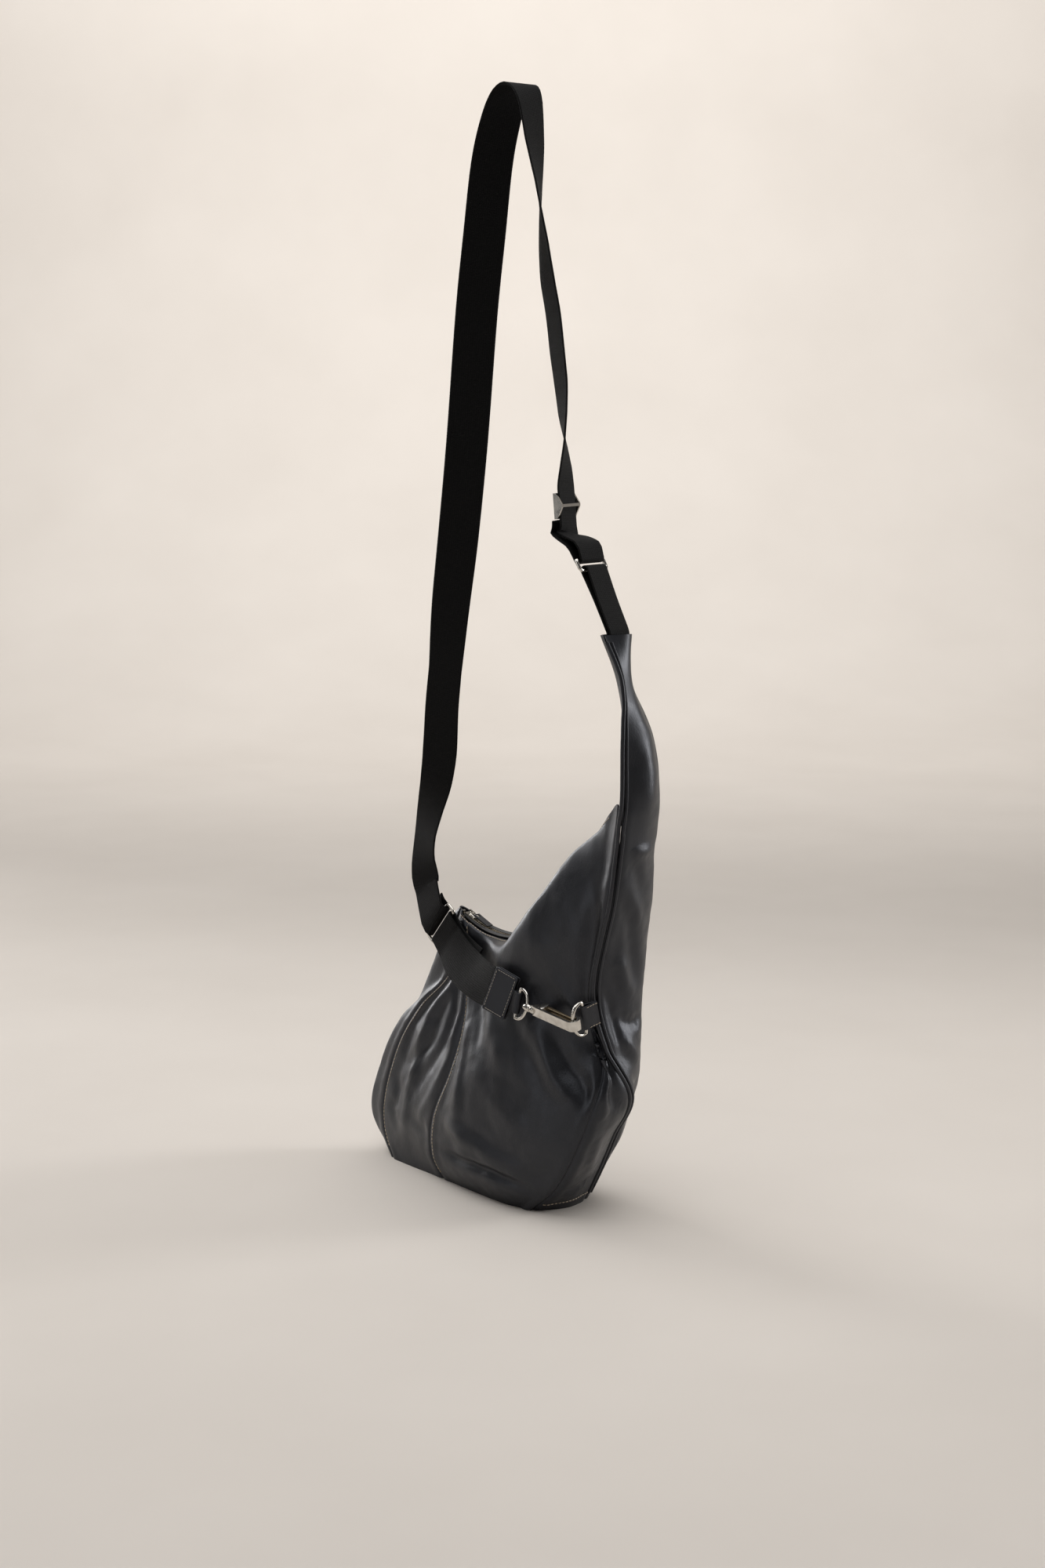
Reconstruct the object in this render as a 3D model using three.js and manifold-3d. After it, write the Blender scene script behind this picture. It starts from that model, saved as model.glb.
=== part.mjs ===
// Slouchy leather shoulder bag with a webbing strap, a curved zip and a snap hook.
// Millimetres, +Z up. +X runs towards the tall horn that carries the strap, -Y is the front.
// The origin is on the floor, under the middle of the base.
import * as THREE from 'three';
import { mergeVertices } from 'three/addons/utils/BufferGeometryUtils.js';
import Module from 'manifold-3d';

const wasm = await Module();
wasm.setup();

// ---- driving dimensions -------------------------------------------------------------------
const GAP = 0.3;                 // clearance between touching pieces
const LEATHER = 1.6;             // thickness of the outer leather
const FACING = 1.2;              // thickness of the thinner leather of loops and tabs
const WEBBING_WIDTH = 38;
const WEBBING = 1.8;             // thickness of the strap webbing
const WIRE = 3.2;                // diameter of the ring wire
const RING_INNER = 40;           // clear length of the two strap rings
const RING_SLOT = 7.4;           // clear width of the two strap rings
const WRAP = WIRE / 2 + 0.9 + WEBBING / 2;   // radius of webbing folded around a ring bar

// The closed zip lies in a vertical plane: a sagging arc, a tighter arc, then a straight rise.
const ZIP_Y = 8;
const ZIP_CENTRE = new THREE.Vector3(20, ZIP_Y, 356);
const ZIP_RADIUS = 121;
const ZIP_START = -31;           // degrees from straight down, at the left corner of the mouth
const ZIP_TURN = 12;             // where the tighter arc begins
const ZIP_RISE = 53;             // slope of the straight rise
const ZIP_BEND = 60;             // radius of the tighter arc
const ZIP_LENGTH = 243;

const BLACK_LEATHER = { color: 0x202124, roughness: 0.5, metalness: 0 };
const BLACK_CLOTH = { color: 0x101011, roughness: 0.95, metalness: 0 };
const LINING_CLOTH = { color: 0x6d6455, roughness: 0.95, metalness: 0 };
const NICKEL = { color: 0xb9b9b6, roughness: 0.25, metalness: 1 };
const BRASS = { color: 0x8d7c5c, roughness: 0.4, metalness: 1 };
const BOARD = { color: 0x2b2a28, roughness: 0.9, metalness: 0 };

const v3 = (x, y, z) => new THREE.Vector3(x, y, z);
const rad = THREE.MathUtils.degToRad;

const bag = new THREE.Group();

function addPiece(name, geometry, finish) {
  const mesh = new THREE.Mesh(geometry, new THREE.MeshStandardMaterial(finish));
  mesh.name = name;
  bag.add(mesh);
  return mesh;
}

// ---- the mouth of the bag -----------------------------------------------------------------
function arcPoint(centre, radius, angle) {
  return v3(centre.x + radius * Math.sin(rad(angle)), centre.y, centre.z - radius * Math.cos(rad(angle)));
}

const firstArc = ZIP_RADIUS * rad(ZIP_TURN - ZIP_START);
const secondArc = ZIP_BEND * rad(ZIP_RISE - ZIP_TURN);
const bendCentre = arcPoint(ZIP_CENTRE, ZIP_RADIUS - ZIP_BEND, ZIP_TURN);

// Point of the closed zip at a share u of its length, from the left corner to the horn.
function zipPoint(u) {
  const length = u * ZIP_LENGTH;
  if (length < firstArc) {
    return arcPoint(ZIP_CENTRE, ZIP_RADIUS, ZIP_START + THREE.MathUtils.radToDeg(length / ZIP_RADIUS));
  }
  if (length < firstArc + secondArc) {
    const turned = THREE.MathUtils.radToDeg((length - firstArc) / ZIP_BEND);
    return arcPoint(bendCentre, ZIP_BEND, ZIP_TURN + turned);
  }
  const rest = length - firstArc - secondArc;
  const end = arcPoint(bendCentre, ZIP_BEND, ZIP_RISE);
  return end.add(v3(Math.cos(rad(ZIP_RISE)) * rest, 0, Math.sin(rad(ZIP_RISE)) * rest));
}

// Half width of the opening in the leather, which closes to a point at both ends.
function mouthHalfWidth(u) {
  return 6 + 7.5 * Math.sin(Math.PI * Math.min(Math.max(u, 0), 1)) ** 0.8;
}

function rim(u, side) {
  return zipPoint(u).add(v3(0, side * mouthHalfWidth(u), 0));
}

// ---- the leather shell --------------------------------------------------------------------
// Guides climb the outside of the bag, from the floor to the mouth. They go round from the
// left seam over the front to the piped seam, and back behind. Each has its points on the same
// nine rows: floor, foot, belly, waist, chest, shoulder, neck, crest and rim.
const GUIDES = {
  leftSeam: [[-119, -12, 0], [-140, -4, 24], [-141, -3, 56], [-126, 0, 106], [-94, 0, 152], [-56, 2, 188],
    [-47, 3, 222], [-44, 4, 241]],
  frontSeam: [[-33, -26, 0], [-41, -34, 24], [-38, -36, 60], [-20, -31, 106], [-11, -22, 150],
    [-16, -12, 188], [-22, -5, 222], [-25, -3, 240]],
  frontLeft: [[15, -34, 0], [14, -47, 24], [18, -51, 62], [22, -46, 108], [22, -34, 152], [16, -21, 190],
    [10, -12, 218], [7, -9, 232]],
  frontMiddle: [[60, -40, 0], [66, -53, 24], [74, -56, 64], [76, -51, 110], [70, -43, 155], [59, -34, 192],
    [49, -31, 218], [46, -25, 235]],
  frontRight: [[80, -39, 0], [104, -48, 24], [122, -51, 66], [124, -47, 112], [114, -40, 160],
    [104, -34, 202], [94, -37, 245], [87, -27, 279]],
  gussetSeam: [[96, -37, 0], [126, -37, 26], [151, -38, 64], [167, -32, 110], [164, -20, 150],
    [140, -30, 204], [134, -32, 268], [126, -14, 328]],
  gusset: [[112, -8, 0], [130, -10, 28], [156, -12, 68], [173, -12, 112], [165, -17, 152], [151, -25, 205],
    [161, -26, 284], [166, -17, 344]],
  pipedSeam: [[106, 20, 0], [124, 22, 34], [144, 19, 70], [172, 9, 112], [166, -14, 158], [158, -22, 210],
    [178, -23, 290], [184, -22, 330], [187, -22, 352]],
  side: [[98, 32, 0], [118, 34, 30], [142, 32, 68], [160, 28, 114], [166, 20, 156], [167, 10, 208],
    [181, 8, 288], [188, 7, 330], [192, 6, 352]],
  backEdge: [[86, 38, 0], [106, 46, 30], [125, 49, 66], [143, 48, 112], [154, 42, 160], [161, 37, 206],
    [171, 37, 286], [176, 35, 330], [180, 34, 352]],
  backRight: [[70, 42, 0], [82, 52, 26], [94, 58, 66], [108, 56, 114], [120, 50, 160], [134, 45, 208],
    [148, 41, 282], [156, 36, 326], [164, 27, 350]],
  backMiddle: [[30, 44, 0], [34, 56, 26], [38, 62, 66], [48, 60, 114], [64, 54, 160], [84, 47, 208],
    [104, 40, 262], [114, 31, 303]],
  backInner: [[-20, 40, 0], [-22, 52, 24], [-22, 56, 62], [-12, 52, 108], [4, 46, 152], [24, 38, 190],
    [42, 32, 222], [52, 26, 238]],
  backLeft: [[-70, 26, 0], [-80, 36, 22], [-84, 40, 56], [-76, 40, 102], [-56, 35, 146], [-34, 29, 186],
    [-19, 26, 218], [-9, 24, 232]],
  leftEdge: [[-112, 8, 0], [-156, 8, 20], [-166, 10, 46], [-155, 12, 86], [-134, 13, 126], [-107, 14, 156],
    [-80, 14, 204], [-59, 12, 238]],
};
// Where each guide that reaches the mouth ends on it: share of the zip and side of it.
const RIM_ENDS = {
  leftSeam: [0, -0.4], frontSeam: [0.08, -1], frontLeft: [0.22, -1], frontMiddle: [0.4, -1],
  frontRight: [0.62, -1], gussetSeam: [0.86, -1], backMiddle: [0.8, 1], backInner: [0.42, 1],
  backLeft: [0.17, 1], leftEdge: [0, 1],
};
for (const [name, [share, side]] of Object.entries(RIM_ENDS)) {
  const end = rim(share, side);
  GUIDES[name].push([end.x, end.y, end.z]);
}
GUIDES.gusset.push([174, -19, 370]);

const guideNames = Object.keys(GUIDES);
const guide = (name) => guideNames.indexOf(name);
const RIM_ROW = 8;

// Above the mouth the horn is a flat tube with its own ring of guides.
const HORN_ROWS = 5;
const HORN = {
  pipedSeam: [[187, -22, 352], [190, -22, 388], [190, -22, 432], [185, -19, 482], [167, -21, 523]],
  side: [[192, 6, 352], [199, 6, 388], [194, 4, 432], [179, 0, 482], [174, 3, 523]],
  backEdge: [[180, 34, 352], [184, 32, 388], [181, 27, 432], [163, 17, 482], [157, 24, 521]],
};
const INNER = {
  backEdge: HORN.backEdge,
  backRight: [[163, 26, 352], [174, 22, 388], [175, 18, 432], [162, 9, 482], [150, 15, 522]],
  middle: [[150, 8, 352], [172, 5, 388], [177, 2, 432], [167, -4, 482], [153, -1, 522]],
  front: [[168, -10, 352], [180, -12, 388], [182, -12, 432], [174, -13, 482], [156, -15, 522]],
  pipedSeam: HORN.pipedSeam,
};

function catmull(a, b, c, d, t) {
  const blend = (p, q, r, s) => 0.5 * (2 * q + (r - p) * t + (2 * p - 5 * q + 4 * r - s) * t * t
    + (3 * q - p - 3 * r + s) * t * t * t);
  return v3(blend(a.x, b.x, c.x, d.x), blend(a.y, b.y, c.y, d.y), blend(a.z, b.z, c.z, d.z));
}

// Smooth curve through points at a place counted in points; closed curves run on past the end.
function through(points, place, closed) {
  const count = points.length;
  const span = Math.min(Math.floor(place), closed ? count - 1 : count - 2);
  const at = (index) => {
    if (closed) return points[(index + count) % count];
    if (index < 0) return points[0].clone().multiplyScalar(2).sub(points[1]);
    if (index >= count) return points[count - 1].clone().multiplyScalar(2).sub(points[count - 2]);
    return points[index];
  };
  return catmull(at(span - 1), at(span), at(span + 1), at(span + 2), place - span);
}

const toVectors = (rows) => rows.map(([x, y, z]) => v3(x, y, z));
const bodyGuides = Object.values(GUIDES).map(toVectors);
const hornGuides = Object.values(HORN).map(toVectors);
const innerGuides = Object.values(INNER).map(toVectors);

// Outside of the bag at a place round it (in guides) and up it (in rows). Above the rim only
// the stretch from the piped seam to the back edge goes on, as the outside of the horn.
function shellPoint(around, row) {
  if (row <= RIM_ROW) {
    return through(bodyGuides.map((points) => through(points, row, false)), around, true);
  }
  const ring = hornGuides.map((points) => through(points, row - RIM_ROW, false));
  return through(ring, around - guide('pipedSeam'), false);
}

function innerPoint(around, row) {
  return through(innerGuides.map((points) => through(points, row, false)), around, false);
}

// ---- closed solids from grids -------------------------------------------------------------
function closedGeometry(points, triangles) {
  const geometry = new THREE.BufferGeometry();
  geometry.setAttribute('position', new THREE.Float32BufferAttribute(points.flatMap((p) => p.toArray()), 3));
  geometry.setIndex(triangles);
  return geometry;
}

// Sheet of even thickness under a grid of points. keep(i, j) says which cells the sheet has.
function sheetSolid(surface, columns, rows, thickness, keep = () => true) {
  const grid = [];
  for (let i = 0; i < columns.length; i += 1) {
    grid.push(rows.map((row) => surface(columns[i], row)));
  }
  const normalAt = (i, j) => {
    const left = grid[Math.max(i - 1, 0)][j];
    const right = grid[Math.min(i + 1, columns.length - 1)][j];
    const below = grid[i][Math.max(j - 1, 0)];
    const above = grid[i][Math.min(j + 1, rows.length - 1)];
    return right.clone().sub(left).cross(above.clone().sub(below)).normalize();
  };
  const points = [];
  const numberOf = new Map();
  const vertex = (i, j, inside) => {
    const key = `${i},${j},${inside}`;
    if (!numberOf.has(key)) {
      numberOf.set(key, points.length);
      const point = grid[i][j].clone();
      points.push(inside ? point.addScaledVector(normalAt(i, j), -thickness) : point);
    }
    return numberOf.get(key);
  };
  const triangles = [];
  const quad = (a, b, c, d) => triangles.push(a, b, c, a, c, d);
  const has = (i, j) => i >= 0 && j >= 0 && i < columns.length - 1 && j < rows.length - 1 && keep(i, j);
  for (let i = 0; i < columns.length - 1; i += 1) {
    for (let j = 0; j < rows.length - 1; j += 1) {
      if (!has(i, j)) continue;
      quad(vertex(i, j), vertex(i + 1, j), vertex(i + 1, j + 1), vertex(i, j + 1));
      quad(vertex(i, j, 1), vertex(i, j + 1, 1), vertex(i + 1, j + 1, 1), vertex(i + 1, j, 1));
      const sides = [
        [has(i, j - 1), [i, j], [i + 1, j]],
        [has(i + 1, j), [i + 1, j], [i + 1, j + 1]],
        [has(i, j + 1), [i + 1, j + 1], [i, j + 1]],
        [has(i - 1, j), [i, j + 1], [i, j]],
      ];
      for (const [joined, from, to] of sides) {
        if (!joined) quad(vertex(...to), vertex(...from), vertex(...from, 1), vertex(...to, 1));
      }
    }
  }
  return closedGeometry(points, triangles);
}

function steps(from, to, count) {
  return Array.from({ length: count + 1 }, (_, index) => from + ((to - from) * index) / count);
}

// Loft of closed sections: each section is a ring of points, capped at both ends or joined up.
function loft(sections, closedPath = false) {
  const size = sections[0].length;
  const points = sections.flat();
  const triangles = [];
  const last = closedPath ? sections.length : sections.length - 1;
  for (let i = 0; i < last; i += 1) {
    const next = (i + 1) % sections.length;
    for (let j = 0; j < size; j += 1) {
      const a = i * size + j;
      const b = i * size + ((j + 1) % size);
      const c = next * size + ((j + 1) % size);
      const d = next * size + j;
      triangles.push(a, b, c, a, c, d);
    }
  }
  if (!closedPath) {
    const end = (sections.length - 1) * size;
    for (let j = 1; j < size - 1; j += 1) {
      triangles.push(0, j + 1, j, end, end + j, end + j + 1);
    }
  }
  return closedGeometry(points, triangles);
}

// Flat band along points; across(i) is the direction of its width there.
function ribbon(points, across, width, thickness) {
  const sections = points.map((point, i) => {
    const before = points[Math.max(i - 1, 0)];
    const after = points[Math.min(i + 1, points.length - 1)];
    const along = after.clone().sub(before).normalize();
    const wide = across(i).clone();
    wide.addScaledVector(along, -wide.dot(along)).normalize();
    const normal = along.clone().cross(wide);
    const corner = (w, n) => point.clone().addScaledVector(wide, (w * width) / 2)
      .addScaledVector(normal, (n * thickness) / 2);
    return [corner(-1, -1), corner(1, -1), corner(1, 1), corner(-1, 1)];
  });
  return loft(sections);
}

// Half circle of band centre line round a bar, from one side of it to the other.
function turnRound(bar, outward, side, radius, count = 8) {
  return steps(-90, 90, count).map((angle) => bar.clone()
    .addScaledVector(outward, radius * Math.cos(rad(angle)))
    .addScaledVector(side, radius * Math.sin(rad(angle))));
}

// Round wire bent along a closed flat outline.
function wireLoop(outline, normal, diameter, sides = 8) {
  const count = outline.length;
  const sections = outline.map((point, i) => {
    const along = outline[(i + 1) % count].clone().sub(outline[(i + count - 1) % count]).normalize();
    const outward = along.clone().cross(normal);
    return Array.from({ length: sides }, (_, k) => {
      const angle = (-2 * Math.PI * k) / sides;
      return point.clone().addScaledVector(outward, (Math.cos(angle) * diameter) / 2)
        .addScaledVector(normal, (Math.sin(angle) * diameter) / 2);
    });
  });
  return loft(sections, true);
}

// Rectangle of wire centre line with round corners, in the plane of long and short.
function roundRectangle(centre, long, short, length, width, corner, cornerSteps = 4) {
  const outline = [];
  const quarters = [[1, 1, 0], [-1, 1, 90], [-1, -1, 180], [1, -1, 270]];
  for (const [a, b, start] of quarters) {
    for (const angle of steps(start, start + 90, cornerSteps)) {
      outline.push(centre.clone()
        .addScaledVector(long, a * (length / 2 - corner) + corner * Math.cos(rad(angle)))
        .addScaledVector(short, b * (width / 2 - corner) + corner * Math.sin(rad(angle))));
    }
  }
  return outline;
}

// D of wire centre line: a straight bar with a bow on its far side.
function dOutline(bar, long, out, length, depth, corner = 2.4) {
  const outline = [];
  for (const angle of steps(-90, 90, 14)) {
    outline.push(bar.clone().addScaledVector(long, (length / 2) * Math.sin(rad(angle)))
      .addScaledVector(out, depth * Math.cos(rad(angle)) ** 0.7 * 0.999 + corner * 0.4));
  }
  outline.push(bar.clone().addScaledVector(long, length / 2 - corner));
  outline.push(bar.clone());
  outline.push(bar.clone().addScaledVector(long, corner - length / 2));
  return outline;
}

function toSolid(geometry) {
  const merged = geometry.clone();
  merged.deleteAttribute('normal');
  merged.deleteAttribute('uv');
  const welded = mergeVertices(merged, 1e-4);
  return new wasm.Manifold(new wasm.Mesh({
    numProp: 3, vertProperties: Float32Array.from(welded.attributes.position.array),
    triVerts: Uint32Array.from(welded.index.array),
  }));
}

function fromSolid(solid) {
  const { numProp, vertProperties, triVerts } = solid.getMesh();
  const geometry = new THREE.BufferGeometry();
  const positions = new Float32Array((vertProperties.length / numProp) * 3);
  for (let i = 0; i < positions.length / 3; i += 1) {
    for (let k = 0; k < 3; k += 1) positions[i * 3 + k] = vertProperties[i * numProp + k];
  }
  geometry.setAttribute('position', new THREE.BufferAttribute(positions, 3));
  geometry.setIndex(Array.from(triVerts));
  return geometry;
}

// Geometry drawn along its own axes, moved into the frame (x, y, z) at a point.
function inFrame(geometry, origin, x, y, z) {
  return geometry.applyMatrix4(new THREE.Matrix4().makeBasis(x, y, z).setPosition(origin));
}

// ---- leather panels -----------------------------------------------------------------------
const SEAM = 0.035;              // gap left at a seam, as a share of the way to the next guide
const GUSSET_TOP = 4;            // row where the pointed right gusset ends

function panels() {
  const bodyRows = [0, 0.5, 1, 1.6, 2.3, 3, 3.6, GUSSET_TOP, 4.6, 5.2, 6, 6.5, 7, 7.5, RIM_ROW];
  const gussetRow = bodyRows.indexOf(GUSSET_TOP);

  addPiece('left_gusset', sheetSolid(shellPoint,
    steps(guide('leftSeam') + SEAM, guide('frontSeam') - SEAM, 5), bodyRows, LEATHER), BLACK_LEATHER);

  const frontColumns = [...steps(guide('frontSeam') + SEAM, guide('gussetSeam') - SEAM, 10),
    ...steps(guide('gussetSeam') + SEAM, guide('pipedSeam') - 7 * SEAM, 4)];
  const besideGusset = 10;
  addPiece('front_panel', sheetSolid(shellPoint, frontColumns, bodyRows, LEATHER,
    (i, j) => i < besideGusset || j >= gussetRow), BLACK_LEATHER);

  const gussetRows = [0, 0.5, 1, 1.6, 2.3, 3, 3.6, GUSSET_TOP - SEAM];
  const gussetColumns = steps(guide('gussetSeam') + 2 * SEAM, guide('pipedSeam') - 4 * SEAM, 4);
  addPiece('right_gusset', sheetSolid(shellPoint, gussetColumns, gussetRows, LEATHER), BLACK_LEATHER);

  const backColumns = [...steps(guide('pipedSeam') + 2 * SEAM, guide('backEdge'), 4),
    ...steps(guide('backEdge'), guideNames.length - 2 * SEAM, 11).slice(1)];
  const backRows = [...bodyRows, 8.8, 9.6, 10.4, 11.2, RIM_ROW + HORN_ROWS - 1];
  const rimIndex = bodyRows.length - 1;
  addPiece('back_panel', sheetSolid(shellPoint, backColumns, backRows, LEATHER,
    (i, j) => i < 4 || j < rimIndex), BLACK_LEATHER);

  addPiece('horn_facing', sheetSolid(innerPoint, steps(0.45, 3.55, 7), steps(0.12, HORN_ROWS - 1, 6), 1.2),
    BLACK_LEATHER);
}

// Outline of the base, drawn in from the walls.
function baseOutline(inset, count) {
  const places = steps(0, guideNames.length, count).slice(0, -1);
  return places.map((around) => {
    const before = shellPoint((around + guideNames.length - 0.3) % guideNames.length, 0);
    const after = shellPoint((around + 0.3) % guideNames.length, 0);
    const inward = v3(before.y - after.y, after.x - before.x, 0).normalize();
    return shellPoint(around, 0).addScaledVector(inward, inset).setZ(0);
  });
}

function basePieces() {
  const plate = (inset, bottom, height) => {
    const outline = baseOutline(inset, 45);
    const lift = (z) => outline.map((point) => point.clone().setZ(z));
    return loft([lift(bottom), lift(bottom + height)]);
  };
  addPiece('bottom_panel', plate(4.4, 0, LEATHER), BLACK_LEATHER);
  addPiece('base_board', plate(7, LEATHER + 1.5 + GAP, 1.6), BOARD);
}

// Cloth bag inside the leather, open at the top, with a slip pocket on its back wall.
const LINING_GUIDES = ['leftEdge', 'leftSeam', 'frontSeam', 'frontLeft', 'frontMiddle', 'frontRight', 'side',
  'backEdge', 'backRight', 'backMiddle', 'backInner', 'backLeft'];
const LINING_FIT = 0.88;         // size of the lining beside the leather, about the middle of each row

function liningPoint(around, row) {
  const ring = LINING_GUIDES.map((name) => through(bodyGuides[guide(name)], row, false));
  const middle = ring.reduce((sum, point) => sum.add(point), v3(0, 0, 0)).divideScalar(ring.length);
  const point = through(ring, around, true);
  const height = point.z;
  return point.sub(middle).multiplyScalar(LINING_FIT).add(middle).setZ(height);
}

function liningPieces() {
  const count = LINING_GUIDES.length;
  const rows = [0.35, 1, 2, 3, 4, 5];
  addPiece('lining', sheetSolid(liningPoint, steps(0.05, count - 0.05, 28), rows, 0.8), LINING_CLOTH);
  const pocketPoint = (around, row) => {
    const point = liningPoint(around, row);
    return point.add(v3(0, -2.6, 0));
  };
  addPiece('inner_pocket', sheetSolid(pocketPoint, steps(8.4, 10.2, 5), [2.6, 3, 3.5, 4], 0.8), LINING_CLOTH);
}

// Cord-filled piping that stands out between the side panel and the front.
function piping() {
  const rows = [...steps(0.3, RIM_ROW, 26), ...steps(RIM_ROW + 0.3, RIM_ROW + HORN_ROWS - 1.3, 9)];
  const place = guide('pipedSeam');
  const sections = rows.map((row, index) => {
    const point = shellPoint(place, row);
    const next = shellPoint(place, rows[index + 1] ?? row + 0.2);
    const along = next.sub(point).normalize();
    const across = shellPoint(place + 0.1, row).sub(point).normalize();
    const outward = across.clone().cross(along).normalize();
    const forward = along.clone().cross(outward);
    const lift = 2.9;
    return Array.from({ length: 8 }, (_, k) => {
      const angle = (2 * Math.PI * k) / 8;
      return point.clone().addScaledVector(outward, lift + 1.9 * Math.cos(angle))
        .addScaledVector(forward, -1.2 + 1.9 * Math.sin(angle));
    });
  });
  addPiece('piping', loft(sections), BLACK_LEATHER);
}

// ---- the zip ------------------------------------------------------------------------------
const TEETH = 2.2;               // width of one row of teeth
const TEETH_GAP = 1.6;           // space between the rows, where the slider's post runs
const ZIP_INSET = 0.025;         // share of the zip taken by the stops at each end
const SLIDER_LENGTH = 11;
const SLIDER_ANGLE = ZIP_START + 6.5;

function zipStrip(from, to, side, thickness, start, end, count) {
  const sections = steps(start, end, count).map((u) => {
    const point = zipPoint(u);
    const ahead = zipPoint(u + 0.002).sub(zipPoint(u - 0.002)).normalize();
    const up = v3(-ahead.z, 0, ahead.x);
    const corner = (y, n) => point.clone().add(v3(0, side * y, 0)).addScaledVector(up, (n * thickness) / 2);
    const far = to(u);
    const ring = [corner(from, -1), corner(far, -1), corner(far, 1), corner(from, 1)];
    return side > 0 ? ring : ring.reverse();
  });
  return loft(sections);
}

function zipPieces() {
  const teethEdge = TEETH_GAP / 2 + TEETH;
  for (const [side, label] of [[-1, 'front'], [1, 'back']]) {
    addPiece(`zip_teeth_${label}`, zipStrip(TEETH_GAP / 2, () => teethEdge, side, 1.6,
      ZIP_INSET, 1 - ZIP_INSET, 34), NICKEL);
    const tapeEdge = (u) => Math.max(mouthHalfWidth(u) - 2.6 - 2 * THREE.MathUtils.smoothstep(u, 0.5, 0.75),
      teethEdge + 0.6);
    const tape = zipStrip(teethEdge + 0.1, tapeEdge, side, 0.8, 0.04, 0.95, 26);
    addPiece(`zip_tape_${label}`, tape, BLACK_CLOTH);
  }
  for (const [label, share] of [['top', ZIP_INSET / 2], ['end', 1 - ZIP_INSET / 2]]) {
    const stop = new THREE.BoxGeometry(2, 3, 1.6);
    const ahead = zipPoint(share + 0.002).sub(zipPoint(share - 0.002)).normalize();
    const up = v3(-ahead.z, 0, ahead.x);
    addPiece(`zip_${label}_stop`, inFrame(stop, zipPoint(share), ahead, v3(0, 1, 0), up), NICKEL);
  }
}

function sliderPieces() {
  const ahead = v3(Math.cos(rad(SLIDER_ANGLE)), 0, Math.sin(rad(SLIDER_ANGLE)));
  const up = v3(-ahead.z, 0, ahead.x);
  const origin = arcPoint(ZIP_CENTRE, ZIP_RADIUS, SLIDER_ANGLE);
  const across = v3(0, 1, 0);
  const plate = (offset, thickness) => (
    new THREE.BoxGeometry(SLIDER_LENGTH, 8, thickness).translate(0, 0, offset)
  );
  const post = new THREE.BoxGeometry(2.4, 0.9, 5).translate(-SLIDER_LENGTH / 2 + 2, 0, 0);
  const lug = (x) => new THREE.BoxGeometry(1.4, 1.6, 3.4).translate(x, 0, 4);
  let body = toSolid(plate(2, 1.4)).add(toSolid(plate(-2, 1.2))).add(toSolid(post));
  body = body.add(toSolid(lug(-3))).add(toSolid(lug(2.4)));
  body = body.add(toSolid(new THREE.BoxGeometry(6.8, 1.6, 1.2).translate(-0.3, 0, 5.9)));
  addPiece('zip_slider', inFrame(fromSolid(body), origin, ahead, across, up), NICKEL);

  // The pull is a wire ring through the slider's bridge, with a leather tab sewn to it.
  const bridge = origin.clone().addScaledVector(ahead, -0.3).addScaledVector(up, 4.1);
  const pullWire = roundRectangle(bridge.clone().addScaledVector(ahead, 3.9).addScaledVector(up, 0.45),
    ahead, across, 9.4, 6.4, 2.6, 3);
  addPiece('zip_pull_ring', wireLoop(pullWire, up, 1.1, 8), NICKEL);
  const tab = new THREE.BoxGeometry(20, 7, 1.1);
  const hole = new THREE.BoxGeometry(4.6, 3.4, 3).translate(-7.6, 0, 0);
  const tabAt = bridge.clone().addScaledVector(ahead, 15.6).addScaledVector(up, 2.1);
  addPiece('zip_pull_tab', inFrame(fromSolid(toSolid(tab).subtract(toSolid(hole))), tabAt, ahead, across, up),
    BLACK_LEATHER);
}

// ---- the strap ----------------------------------------------------------------------------
const leftRing = {
  centre: v3(-57, -5, 238), long: v3(-0.636, 0, -0.772).normalize(), short: v3(0.772, 0, -0.636).normalize(),
};
const upperRing = {
  centre: v3(131, 0, 582), long: v3(-0.2, 0.98, 0).normalize(), short: v3(-0.46, -0.094, 0.883).normalize(),
};
const BAR_OFFSET = (RING_SLOT + WIRE) / 2;
const barAt = (ring, side) => ring.centre.clone().addScaledVector(ring.short, side * BAR_OFFSET);

function ringPieces() {
  for (const [name, ring] of [['left_ring', leftRing], ['upper_ring', upperRing]]) {
    const normal = ring.long.clone().cross(ring.short).normalize();
    const outline = roundRectangle(
      ring.centre, ring.long, ring.short, RING_INNER + WIRE, RING_SLOT + WIRE, 3,
    );
    addPiece(name, wireLoop(outline, normal, WIRE), NICKEL);
  }
}

// Strap centre line from just above the left ring, over the top and down to the tri-glide:
// x, z and the turn of its width about the vertical, all in the plane y = 0.
const STRAP_RUN = [
  [-83, 272, -14], [-86, 296, -20], [-83, 322, -14], [-76, 348, -4], [-68, 374, 8], [-63, 402, 14],
  [-60, 442, 11], [-55, 480, 10], [-48, 535, 23], [-37, 602, 35], [-25, 688, 41], [-12.5, 800, 45],
  [-2, 870, 50], [8, 932, 58], [20, 970, 66], [32, 991, 76], [45, 996, 88], [55, 982, 100],
  [61, 946, 110], [65.5, 912, 126], [68.5, 884, 137], [72, 858, 146], [76.5, 829, 152], [84, 797, 153],
  [89, 765, 153], [93.5, 738, 151], [96, 710, 144], [98.5, 688, 133], [99.5, 666, 120],
];
const GLIDE_TOP = v3(99.5, 0, 650);
const GLIDE_AXIS = v3(0.1, 0, -1).normalize();
const GLIDE_PITCH = 10;          // distance between the three bars of the tri-glide
const GLIDE_ACROSS = v3(Math.cos(rad(113)), Math.sin(rad(113)), 0);

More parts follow.
